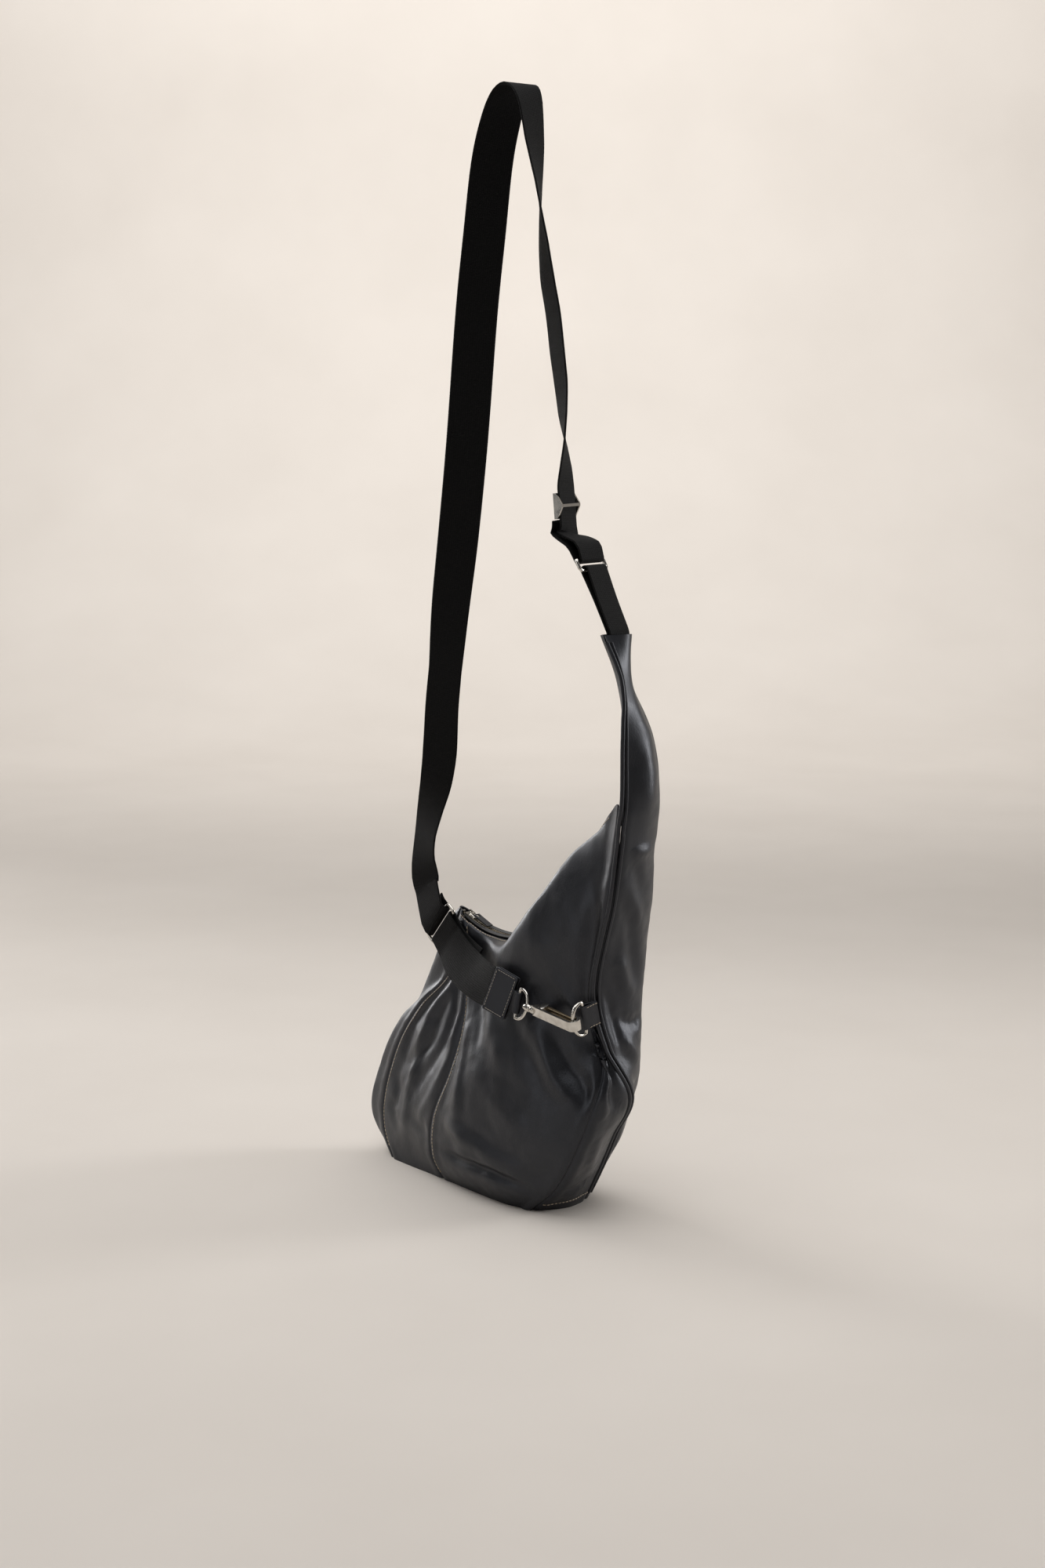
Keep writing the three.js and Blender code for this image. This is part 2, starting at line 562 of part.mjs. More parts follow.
function strapPieces() {
  const glideNormal = GLIDE_AXIS.clone().cross(GLIDE_ACROSS).normalize();
  const across = [];
  const points = [];
  const put = (point, direction) => {
    points.push(point);
    across.push(direction);
  };
  // Sewn tail, fold round the left ring's upper bar, then the long run.
  const bar = barAt(leftRing, -1);
  const away = leftRing.short.clone().negate();
  const front = leftRing.long.clone().cross(leftRing.short).normalize();
  put(bar.clone().addScaledVector(away, 20).addScaledVector(front, -6.4), leftRing.long);
  put(bar.clone().addScaledVector(away, 10).addScaledVector(front, -3.6), leftRing.long);
  for (const point of turnRound(bar, leftRing.short, front, WRAP)) put(point, leftRing.long);
  put(bar.clone().addScaledVector(away, 8).addScaledVector(front, 2.6), leftRing.long);
  const run = STRAP_RUN.map(([x, z]) => v3(x, 0, z));
  const runTurn = STRAP_RUN.map(([, , turn]) => turn);
  for (const place of steps(0, run.length - 1, 72)) {
    const index = Math.min(Math.floor(place), run.length - 2);
    const turn = THREE.MathUtils.lerp(runTurn[index], runTurn[index + 1], place - index);
    const level = v3(-Math.cos(rad(turn)), -Math.sin(rad(turn)), 0);
    const share = THREE.MathUtils.smoothstep(place, 0, 2.5);
    put(through(run, place, false), leftRing.long.clone().lerp(level, share));
  }
  // Straight through the tri-glide, down to the upper ring, round its bar and back up.
  const glideAcross = GLIDE_ACROSS.clone().negate();
  for (const distance of [0, 14, 28, 36, 42]) {
    put(GLIDE_TOP.clone().addScaledVector(GLIDE_AXIS, distance), glideAcross);
  }
  const topBar = barAt(upperRing, 1);
  const ringNormal = upperRing.long.clone().cross(upperRing.short).normalize();
  const side = ringNormal.clone().multiplyScalar(ringNormal.dot(glideNormal) > 0 ? 1 : -1);
  const down = upperRing.short.clone().negate();
  const ringAcross = upperRing.long.clone().negate();
  put(topBar.clone().addScaledVector(down, -13).addScaledVector(side, 4.4), ringAcross);
  for (const point of turnRound(topBar, down, side.clone().negate(), WRAP)) put(point, ringAcross);
  put(topBar.clone().addScaledVector(down, -14).addScaledVector(side, -4.6), ringAcross);
  put(GLIDE_TOP.clone().addScaledVector(GLIDE_AXIS, 42).addScaledVector(glideNormal, -7), glideAcross);
  put(GLIDE_TOP.clone().addScaledVector(GLIDE_AXIS, 30).addScaledVector(glideNormal, -7.2), glideAcross);
  addPiece('strap_webbing', ribbon(points, (i) => across[i], WEBBING_WIDTH, WEBBING), BLACK_CLOTH);
}

// Arched tri-glide: the outer bars pass on one side of the webbing, the middle bar on the other.
function triGlide() {
  const normal = GLIDE_AXIS.clone().cross(GLIDE_ACROSS).normalize();
  const centre = GLIDE_TOP.clone().addScaledVector(GLIDE_AXIS, 18);
  const lift = WEBBING / 2 + 1.3 + 0.4;
  const length = WEBBING_WIDTH + 7;
  const bar = (along, height) => new THREE.BoxGeometry(2.6, length, 2.6).translate(along, 0, height);
  let frame = toSolid(bar(-GLIDE_PITCH, -lift));
  frame = frame.add(toSolid(bar(0, lift))).add(toSolid(bar(GLIDE_PITCH, -lift)));
  for (const end of [-1, 1]) {
    const profile = new THREE.Shape();
    profile.moveTo(-GLIDE_PITCH - 1.3, -lift - 1.3);
    profile.lineTo(GLIDE_PITCH + 1.3, -lift - 1.3);
    profile.lineTo(GLIDE_PITCH + 1.3, -lift + 1.3);
    profile.lineTo(1.3, lift + 1.3);
    profile.lineTo(-1.3, lift + 1.3);
    profile.lineTo(-GLIDE_PITCH - 1.3, -lift + 1.3);
    const cheek = new THREE.ExtrudeGeometry(profile, { depth: 2.6, bevelEnabled: false });
    cheek.rotateX(Math.PI / 2).translate(0, 1.3 + end * (length / 2 - 1.3), 0);
    frame = frame.add(toSolid(cheek));
  }
  addPiece('tri_glide', inFrame(fromSolid(frame), centre, GLIDE_AXIS, GLIDE_ACROSS, normal), NICKEL);
}

// Short doubled webbing that comes out of the horn and holds the upper ring.
function hornLoop() {
  const bar = barAt(upperRing, -1);
  const down = upperRing.short.clone().negate();
  const side = upperRing.long.clone().cross(upperRing.short).normalize();
  const mouth = v3(162, 0.6, 525);
  const inHorn = v3(163, 0.6, 521.4);
  const spread = (point, amount) => point.clone().addScaledVector(side, amount);
  const points = [spread(inHorn, 1.3), spread(mouth, 1.4), spread(bar.clone().lerp(mouth, 0.5), 1.8),
    ...turnRound(bar, down.clone().negate(), side.clone().negate(), WRAP),
    spread(bar.clone().lerp(mouth, 0.5), -1.8), spread(mouth, -1.4), spread(inHorn, -1.3)];
  const loop = ribbon(points, () => upperRing.long, WEBBING_WIDTH - 6, WEBBING);
  addPiece('horn_webbing_loop', loop, BLACK_CLOTH);
}

// ---- the front band and the snap hook ------------------------------------------------------
const HOOK_ALONG = v3(0.99, -0.1, -0.11).normalize();
const HOOK_LEAN = v3(0, -0.3, 0.954);
const HOOK_TALL = HOOK_LEAN.clone().addScaledVector(HOOK_ALONG, -HOOK_LEAN.dot(HOOK_ALONG)).normalize();
const HOOK_DEEP = HOOK_TALL.clone().cross(HOOK_ALONG).normalize();
const EYE_BAR = v3(86, -46, 191);
const EYE_LENGTH = 27;
const EYE_DEPTH = 13;
const EYE_TALL = v3(0.125, 0.164, 0.979).normalize();
const HOOK_START = EYE_BAR.clone().addScaledVector(HOOK_ALONG, EYE_DEPTH + 7.4);

// The band runs from the left ring to the leather tab, and its width leans over on the way.
const BAND_RUN = [[-40, -11, 224], [-20, -20, 214], [4, -29.5, 207], [30, -40, 203], [53.2, -47.6, 200.8]];
const BAND_ACROSS = v3(0.53, 0.32, 0.78).normalize();
const TAB_ALONG = v3(0.95, 0.09, -0.3).normalize();
const TAB_ACROSS = v3(0.28, 0.19, 0.94).normalize();
const TAB_LENGTH = 26;
const TAB_WIDTH = WEBBING_WIDTH + 3;
const TAB_CLEARANCE = 1.5;
const HOOK_LOOP_WIDTH = 19;

function frontBand() {
  const bar = barAt(leftRing, 1);
  const front = leftRing.long.clone().cross(leftRing.short).normalize();
  const toFront = front.y < 0 ? front : front.clone().negate();
  const run = toVectors(BAND_RUN);
  const ringAcross = leftRing.long.clone().negate();
  const points = [];
  const across = [];
  const put = (point, direction) => {
    points.push(point);
    across.push(direction);
  };
  const leaning = (place) => (
    ringAcross.clone().lerp(BAND_ACROSS, THREE.MathUtils.smoothstep(place, -0.6, 1.6))
  );
  // Sewn tail under the band, fold round the left ring's lower bar, then the band itself.
  for (const place of steps(2, 0.3, 12)) {
    const above = through(run, place, false);
    put(above.add(v3(0.6, 3.3, 0)).addScaledVector(BAND_ACROSS, 1.5 * place), leaning(place));
  }
  const turn = turnRound(bar, leftRing.short.clone().negate(), toFront, WRAP);
  for (const point of turn) put(point, ringAcross);
  for (const place of steps(0, run.length - 1, 28)) {
    const straight = THREE.MathUtils.smoothstep(place, 2, run.length - 1);
    put(through(run, place, false), leaning(place).lerp(TAB_ACROSS, straight));
  }
  for (const share of [0.34, 0.67, 1]) {
    put(run[run.length - 1].clone().addScaledVector(TAB_ALONG, share * (TAB_LENGTH - 2)), TAB_ACROSS);
  }
  addPiece('front_band', ribbon(points, (i) => across[i], WEBBING_WIDTH, WEBBING), BLACK_CLOTH);
}

function endTab() {
  const from = v3(...BAND_RUN[BAND_RUN.length - 1]);
  const across = TAB_ACROSS.clone().addScaledVector(TAB_ALONG, -TAB_ACROSS.dot(TAB_ALONG)).normalize();
  const facing = TAB_ALONG.clone().cross(across).normalize();
  const lift = WEBBING / 2 + FACING / 2 + GAP + 0.15;
  for (const [name, side] of [['end_tab_front', 1], ['end_tab_back', -1]]) {
    const plate = new THREE.BoxGeometry(TAB_LENGTH, TAB_WIDTH, FACING);
    plate.translate(TAB_LENGTH / 2, 0, side * lift);
    addPiece(name, inFrame(plate, from, TAB_ALONG, across, facing), BLACK_LEATHER);
  }
  // Narrow leather loop from between the plates round the bar of the hook's eye.
  const start = from.clone().addScaledVector(TAB_ALONG, TAB_LENGTH + TAB_CLEARANCE);
  const deep = EYE_TALL.clone().cross(HOOK_ALONG).normalize();
  const halfway = EYE_BAR.clone().lerp(start, 0.4);
  const points = [
    start.clone().addScaledVector(deep, -0.75),
    halfway.clone().addScaledVector(deep, -1.6),
    ...turnRound(EYE_BAR, HOOK_ALONG, deep, WIRE / 2 + 0.4 + FACING / 2),
    halfway.clone().addScaledVector(deep, 1.6),
    start.clone().addScaledVector(deep, 0.75),
  ];
  addPiece('hook_loop', ribbon(points, () => EYE_TALL, HOOK_LOOP_WIDTH, FACING), BLACK_LEATHER);
}

// Everything on the hook is drawn along u (its length), v (its depth) and n (its height).
function hookFrame(geometry, origin = HOOK_START) {
  return inFrame(geometry, origin, HOOK_ALONG, HOOK_DEEP, HOOK_ALONG.clone().cross(HOOK_DEEP).normalize());
}

function plateAlong(outline, height) {
  const shape = new THREE.Shape(outline.map(([u, v]) => new THREE.Vector2(u, v)));
  const solid = new THREE.ExtrudeGeometry(shape, { depth: height, bevelEnabled: false });
  return solid.translate(0, 0, -height / 2);
}

function axialCylinder(radius, length, start, sides = 20) {
  return new THREE.CylinderGeometry(radius, radius, length, sides).rotateZ(Math.PI / 2)
    .translate(start + length / 2, 0, 0);
}

function hookPieces() {
  const eyeNormal = EYE_TALL.clone().cross(HOOK_ALONG).normalize();
  const eyeOutline = dOutline(EYE_BAR, EYE_TALL, HOOK_ALONG, EYE_LENGTH, EYE_DEPTH - 1);
  const eyeWire = wireLoop(eyeOutline, eyeNormal, WIRE);
  const boss = hookFrame(axialCylinder(3.6, 7.6, -9.2));
  const bore = hookFrame(axialCylinder(1.7, 14, -12));
  const eye = toSolid(eyeWire).add(toSolid(boss)).subtract(toSolid(bore));
  addPiece('hook_eye', fromSolid(eye), NICKEL);

  const post = toSolid(axialCylinder(1.4, 10.6, -10.4)).add(toSolid(axialCylinder(2.6, 1.2, -10.7)));
  addPiece('swivel_post', hookFrame(fromSolid(post)), NICKEL);

  // Body: a round neck, the long front plate and the nose that closes round the ring.
  const plate = [[1.6, -1.6], [52, -1.6], [56, -0.4], [58, 2.6], [58, 6], [56.4, 9], [53.6, 10.4],
    [47.4, 10.4], [47.4, 8.4], [53.4, 8.4], [55.2, 6], [55.2, 3], [53.6, 1], [51, 0.8], [12, 0.8],
    [9, 2.6], [9, 4.4], [6, 4.4], [1.6, 3]];
  let body = toSolid(plateAlong(plate, 9.4));
  const neck = axialCylinder(3.8, 5, -1.2).translate(0, 0.4, 0);
  body = body.add(toSolid(neck));
  body = body.subtract(toSolid(axialCylinder(1.7, 3.2, -2.6)));
  const pivotLugs = [];
  for (const side of [-1, 1]) {
    const lug = plateAlong([[7, 0.4], [14, 0.4], [14, 9], [12.4, 10.4], [9.4, 10.4], [7, 9]], 1.2)
      .translate(0, 0, side * 4.1);
    pivotLugs.push(toSolid(lug));
  }
  for (const lug of pivotLugs) body = body.add(lug);
  const pinHole = new THREE.CylinderGeometry(1.1, 1.1, 12, 16).rotateX(Math.PI / 2).translate(11, 7.6, 0);
  body = body.subtract(toSolid(pinHole));
  addPiece('hook_body', hookFrame(fromSolid(body)), NICKEL);

  const pin = new THREE.CylinderGeometry(0.8, 0.8, 9.2, 16).rotateX(Math.PI / 2).translate(11, 7.6, 0);
  addPiece('gate_pin', hookFrame(pin), NICKEL);

  let gate = toSolid(plateAlong([[9.2, 6.3], [12, 5.9], [49, 6.3], [49, 8], [13, 9.4], [9.2, 9.2]], 6.4));
  gate = gate.subtract(toSolid(pinHole));
  addPiece('hook_gate', hookFrame(fromSolid(gate)), BRASS);

  // Leaf spring that lies on the plate and bows up under the gate.
  const leaf = [];
  const lower = [];
  for (const u of steps(14.4, 32, 8)) {
    const height = 1.5 + 0.9 * Math.sin(((u - 14.4) / 17.6) * Math.PI * 0.5) ** 2;
    leaf.push([u, height + 0.4]);
    lower.unshift([u, height]);
  }
  addPiece('gate_spring', hookFrame(plateAlong([...lower.reverse(), ...leaf.reverse()], 4)), NICKEL);
}

// ---- the D-ring and its loop on the piped seam --------------------------------------------
const D_LENGTH = 31;
const D_DEPTH = 13;
const D_LOOP_REACH = 11.4;
const D_LOOP_WIDTH = 23;

function dRingPieces() {
  const clasp = HOOK_START.clone().addScaledVector(HOOK_ALONG, 52.4).addScaledVector(HOOK_DEEP, 3.7);
  const tall = HOOK_ALONG.clone().cross(HOOK_DEEP).normalize();
  const flat = v3(0, -1, 0);
  const out = flat.addScaledVector(tall, -flat.dot(tall)).normalize();
  const bar = clasp.clone().addScaledVector(out, -D_DEPTH - 0.96);
  const normal = tall.clone().cross(out).normalize();
  addPiece('d_ring', wireLoop(dOutline(bar, tall, out, D_LENGTH, D_DEPTH), normal, WIRE), NICKEL);
  const turn = WIRE / 2 + 0.4 + FACING / 2;
  const level = v3(0.33, 0.94, 0);
  const toSeam = level.addScaledVector(tall, -level.dot(tall)).normalize();
  const side = tall.clone().cross(toSeam).normalize();
  const root = bar.clone().addScaledVector(toSeam, D_LOOP_REACH);
  const halfway = root.clone().lerp(bar, 0.5);
  const points = [
    root.clone().addScaledVector(side, 1),
    halfway.clone().addScaledVector(side, 1.9),
    ...turnRound(bar, toSeam.clone().negate(), side.clone().negate(), turn),
    halfway.clone().addScaledVector(side, -1.9),
    root.clone().addScaledVector(side, -1),
  ];
  addPiece('d_ring_loop', ribbon(points, () => tall, D_LOOP_WIDTH, FACING), BLACK_LEATHER);
}

panels();
basePieces();
liningPieces();
piping();
zipPieces();
sliderPieces();
ringPieces();
strapPieces();
triGlide();
hornLoop();
frontBand();
endTab();
hookPieces();
dRingPieces();

export default bag;
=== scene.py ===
"""Looks of a slouchy leather shoulder bag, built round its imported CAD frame.

Everything is drawn in millimetres and handed to Blender in metres, in the CAD frame: +X runs
towards the tall horn, -Y is the front, +Z is up, and the origin is on the floor under the base.
"""

import math

import bpy
import numpy as np
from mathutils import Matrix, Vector, noise


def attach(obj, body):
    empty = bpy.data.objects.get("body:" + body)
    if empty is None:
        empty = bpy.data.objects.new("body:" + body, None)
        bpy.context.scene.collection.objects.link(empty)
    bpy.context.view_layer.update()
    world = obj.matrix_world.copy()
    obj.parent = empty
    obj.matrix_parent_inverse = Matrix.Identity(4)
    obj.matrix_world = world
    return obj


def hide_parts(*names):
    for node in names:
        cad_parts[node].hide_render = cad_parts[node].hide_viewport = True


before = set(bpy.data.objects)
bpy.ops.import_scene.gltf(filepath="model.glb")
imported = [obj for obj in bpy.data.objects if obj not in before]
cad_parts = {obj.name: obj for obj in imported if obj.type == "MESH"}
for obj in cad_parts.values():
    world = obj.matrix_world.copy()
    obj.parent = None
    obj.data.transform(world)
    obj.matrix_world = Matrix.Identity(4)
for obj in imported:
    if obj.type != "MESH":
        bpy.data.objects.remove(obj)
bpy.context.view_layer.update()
MM = 0.001
FRONT_SIDE = -1
BACK_SIDE = 1


# ---- camera ----
def make_camera():
    """A 60 mm lens at the bag's front right, eight degrees above level."""
    turn = math.radians(45)
    pitch = math.radians(8)
    data = bpy.data.cameras.new("camera")
    data.lens = 60
    data.sensor_width = 36
    data.clip_end = 50
    camera = bpy.data.objects.new("camera", data)
    camera.location = (1.702, -1.656, 0.709)
    camera.rotation_euler = (math.pi / 2 - pitch, 0, turn)
    bpy.context.collection.objects.link(camera)
    bpy.context.scene.camera = camera


make_camera()

# ---- shape of the bag, repeated from the CAD source in millimetres ----
LEATHER = 1.6
FACING = 1.2
WEBBING_WIDTH = 38.0
WEBBING = 1.8
WIRE = 3.2
RING_INNER = 40.0
RING_SLOT = 7.4
WRAP = WIRE / 2 + 0.9 + WEBBING / 2

ZIP_Y = 8.0
ZIP_CENTRE = np.array([20.0, ZIP_Y, 356.0])
ZIP_RADIUS = 121.0
ZIP_START = -31.0
ZIP_TURN = 12.0
ZIP_RISE = 53.0
ZIP_BEND = 60.0
ZIP_LENGTH = 243.0

# Guides climb the outside of the bag from the floor to the mouth, all on the same rows.
GUIDES = {
    "left_seam": [(-119, -12, 0), (-140, -4, 24), (-141, -3, 56), (-126, 0, 106), (-94, 0, 152),
                  (-56, 2, 188), (-47, 3, 222), (-44, 4, 241)],
    "front_seam": [(-33, -26, 0), (-41, -34, 24), (-38, -36, 60), (-20, -31, 106), (-11, -22, 150),
                   (-16, -12, 188), (-22, -5, 222), (-25, -3, 240)],
    "front_left": [(15, -34, 0), (14, -47, 24), (18, -51, 62), (22, -46, 108), (22, -34, 152),
                   (16, -21, 190), (10, -12, 218), (7, -9, 232)],
    "front_middle": [(60, -40, 0), (66, -53, 24), (74, -56, 64), (76, -51, 110), (70, -43, 155),
                     (59, -34, 192), (49, -31, 218), (46, -25, 235)],
    "front_right": [(80, -39, 0), (104, -48, 24), (122, -51, 66), (124, -47, 112), (114, -40, 160),
                    (104, -34, 202), (94, -37, 245), (87, -27, 279)],
    "gusset_seam": [(96, -37, 0), (126, -37, 26), (151, -38, 64), (167, -32, 110), (164, -20, 150),
                    (140, -30, 204), (134, -32, 268), (126, -14, 328)],
    "gusset": [(112, -8, 0), (130, -10, 28), (156, -12, 68), (173, -12, 112), (165, -17, 152),
               (151, -25, 205), (161, -26, 284), (166, -17, 344), (174, -19, 370)],
    "piped_seam": [(106, 20, 0), (124, 22, 34), (144, 19, 70), (172, 9, 112), (166, -14, 158),
                   (158, -22, 210), (178, -23, 290), (184, -22, 330), (187, -22, 352)],
    "side": [(98, 32, 0), (118, 34, 30), (142, 32, 68), (160, 28, 114), (166, 20, 156), (167, 10, 208),
             (181, 8, 288), (188, 7, 330), (192, 6, 352)],
    "back_edge": [(86, 38, 0), (106, 46, 30), (125, 49, 66), (143, 48, 112), (154, 42, 160),
                  (161, 37, 206), (171, 37, 286), (176, 35, 330), (180, 34, 352)],
    "back_right": [(70, 42, 0), (82, 52, 26), (94, 58, 66), (108, 56, 114), (120, 50, 160),
                   (134, 45, 208), (148, 41, 282), (156, 36, 326), (164, 27, 350)],
    "back_middle": [(30, 44, 0), (34, 56, 26), (38, 62, 66), (48, 60, 114), (64, 54, 160),
                    (84, 47, 208), (104, 40, 262), (114, 31, 303)],
    "back_inner": [(-20, 40, 0), (-22, 52, 24), (-22, 56, 62), (-12, 52, 108), (4, 46, 152),
                   (24, 38, 190), (42, 32, 222), (52, 26, 238)],
    "back_left": [(-70, 26, 0), (-80, 36, 22), (-84, 40, 56), (-76, 40, 102), (-56, 35, 146),
                  (-34, 29, 186), (-19, 26, 218), (-9, 24, 232)],
    "left_edge": [(-112, 8, 0), (-156, 8, 20), (-166, 10, 46), (-155, 12, 86), (-134, 13, 126),
                  (-107, 14, 156), (-80, 14, 204), (-59, 12, 238)],
}
RIM_ENDS = {
    "left_seam": (0, -0.4), "front_seam": (0.08, -1), "front_left": (0.22, -1), "front_middle": (0.4, -1),
    "front_right": (0.62, -1), "gusset_seam": (0.86, -1), "back_middle": (0.8, 1), "back_inner": (0.42, 1),
    "back_left": (0.17, 1), "left_edge": (0, 1),
}
HORN = {
    "piped_seam": [(190, -22, 388), (190, -22, 432), (185, -19, 482), (167, -21, 523)],
    "side": [(199, 6, 388), (194, 4, 432), (179, 0, 482), (174, 3, 523)],
    "back_edge": [(184, 32, 388), (181, 27, 432), (163, 17, 482), (157, 24, 521)],
}
INNER = {
    "back_edge": [(180, 34, 352)] + HORN["back_edge"],
    "back_right": [(163, 26, 352), (174, 22, 388), (175, 18, 432), (162, 9, 482), (150, 15, 522)],
    "middle": [(150, 8, 352), (172, 5, 388), (177, 2, 432), (167, -4, 482), (153, -1, 522)],
    "front": [(168, -10, 352), (180, -12, 388), (182, -12, 432), (174, -13, 482), (156, -15, 522)],
    "piped_seam": [(187, -22, 352)] + HORN["piped_seam"],
}
GUIDE_NAMES = list(GUIDES)
RIM_ROW = 8
HORN_TOP = 12
GUSSET_TOP = 4


def place_of(name):
    return GUIDE_NAMES.index(name)


def unit(vector):
    vector = np.asarray(vector, float)
    return vector / np.maximum(np.linalg.norm(vector, axis=-1, keepdims=True), 1e-9)


def smoothstep(value, low, high):
    share = np.clip((value - low) / (high - low), 0, 1)
    return share * share * (3 - 2 * share)


def arc_point(centre, radius, degrees):
    angle = math.radians(degrees)
    return np.array([centre[0] + radius * math.sin(angle), centre[1], centre[2] - radius * math.cos(angle)])


FIRST_ARC = ZIP_RADIUS * math.radians(ZIP_TURN - ZIP_START)
SECOND_ARC = ZIP_BEND * math.radians(ZIP_RISE - ZIP_TURN)
BEND_CENTRE = arc_point(ZIP_CENTRE, ZIP_RADIUS - ZIP_BEND, ZIP_TURN)


def zip_point(share):
    """Point of the closed zip at a share of its length, from the left corner to the horn."""
    length = share * ZIP_LENGTH
    if length < FIRST_ARC:
        return arc_point(ZIP_CENTRE, ZIP_RADIUS, ZIP_START + math.degrees(length / ZIP_RADIUS))
    if length < FIRST_ARC + SECOND_ARC:
        return arc_point(BEND_CENTRE, ZIP_BEND, ZIP_TURN + math.degrees((length - FIRST_ARC) / ZIP_BEND))
    slope = math.radians(ZIP_RISE)
    rest = length - FIRST_ARC - SECOND_ARC
    rise = np.array([math.cos(slope), 0, math.sin(slope)])
    return arc_point(BEND_CENTRE, ZIP_BEND, ZIP_RISE) + rest * rise


def zip_frame(share):
    """Point, direction and up of the zip."""
    ahead = unit(zip_point(share + 0.002) - zip_point(share - 0.002))
    return zip_point(share), ahead, np.array([-ahead[2], 0, ahead[0]])


def mouth_half_width(share):
    return 6 + 7.5 * math.sin(math.pi * min(max(share, 0), 1)) ** 0.8


def rim_point(share, side):
    return zip_point(share) + np.array([0, side * mouth_half_width(share), 0])


for guide_name, (rim_share, rim_side) in RIM_ENDS.items():
    GUIDES[guide_name] = GUIDES[guide_name] + [tuple(rim_point(rim_share, rim_side))]


def spline(points, places, closed=False):
    """Catmull-Rom curve through points, at places counted in points."""
    points = np.asarray(points, float)
    places = np.asarray(places, float)
    count = len(points)
    if closed:
        ring = np.concatenate([points[-1:], points, points[:2]])
        span = np.minimum(np.floor(places).astype(int), count - 1)
    else:
        ring = np.concatenate([2 * points[:1] - points[1:2], points, 2 * points[-1:] - points[-2:-1]])
        span = np.minimum(np.floor(places).astype(int), count - 2)
    t = (places - span).reshape((-1,) + (1,) * (points.ndim - 1))
    a, b, c, d = (ring[span + k] for k in range(4))
    square, cube = 2 * a - 5 * b + 4 * c - d, 3 * b - a - 3 * c + d
    return 0.5 * (2 * b + (c - a) * t + square * t ** 2 + cube * t ** 3)


# ---- the fine surface: guides, wrinkles and seams ----
PER_GUIDE = 26                   # fine columns from one guide to the next
PER_ROW = 24                     # fine rows from one row to the next
SEAM_NAMES = ("left_seam", "front_seam", "gusset_seam", "piped_seam")
SEAM_STEPS = (0.005, 0.011, 0.019, 0.029)     # extra columns close to each seam


def fine_columns():
    places = list(np.arange(len(GUIDES) * PER_GUIDE) / PER_GUIDE)
    for name in SEAM_NAMES:
        for step in SEAM_STEPS:
            places += [GUIDE_NAMES.index(name) + step, GUIDE_NAMES.index(name) - step]
    return np.unique(np.round(np.array(places) % len(GUIDES), 6))


def column_at(place):
    """Index of the fine column nearest to a place round the bag."""
    return int(np.argmin(np.abs(AROUND - place % len(GUIDES))))


AROUND = fine_columns()
ROWS = np.arange(RIM_ROW * PER_ROW + 1) / PER_ROW
HORN_ROWS = np.arange(1, (HORN_TOP - RIM_ROW) * PER_ROW + 1) / PER_ROW
SIDE_FROM = place_of("piped_seam")
SIDE_TO = place_of("back_edge")


def body_surface():
    """Fine grid of the body: column, row, xyz."""
    climbs = []
    for name, points in GUIDES.items():
        full = list(points) + HORN.get(name, [])
        climbs.append(spline(full, ROWS))
    return spline(np.array(climbs), AROUND, closed=True)


def horn_surface(body):
    """Fine grid of the horn's outside, which goes on from the body between two of its guides."""
    climbs = []
    for name, points in HORN.items():
        climbs.append(spline(list(GUIDES[name]) + points, RIM_ROW + np.concatenate([[0], HORN_ROWS])))
    first, last = column_at(SIDE_FROM), column_at(SIDE_TO)
    grid = spline(np.array(climbs), AROUND[first:last + 1] - SIDE_FROM)
    border = body[first:last + 1, -1]
    step = (border - grid[:, 0])[:, None]
    fade = 1 - smoothstep(np.concatenate([[0], HORN_ROWS]), 0, 1.2)
    return grid + step * fade[None, :, None]


def inner_surface():
    columns = np.arange(0, 4 * PER_GUIDE + 1) / PER_GUIDE
    rows = np.arange(0, 4 * PER_ROW + 1) / PER_ROW
    return spline(np.array([spline(points, rows) for points in INNER.values()]), columns)


def normals_of(grid, closed=False):
    if closed:
        across = np.roll(grid, -1, 0) - np.roll(grid, 1, 0)
    else:
        across = np.gradient(grid, axis=0)
    return unit(np.cross(across, np.gradient(grid, axis=1)))


def distance_round(grid, place):
    """Distance along each row from the column at a place, the short way round."""
    lengths = np.linalg.norm(np.roll(grid, -1, 0) - grid, axis=2)
    before = np.concatenate([np.zeros((1, grid.shape[1])), np.cumsum(lengths, 0)])
    total = before[-1]
    gone = np.abs(before[:-1] - before[column_at(place)])
    return np.minimum(gone, total - gone)


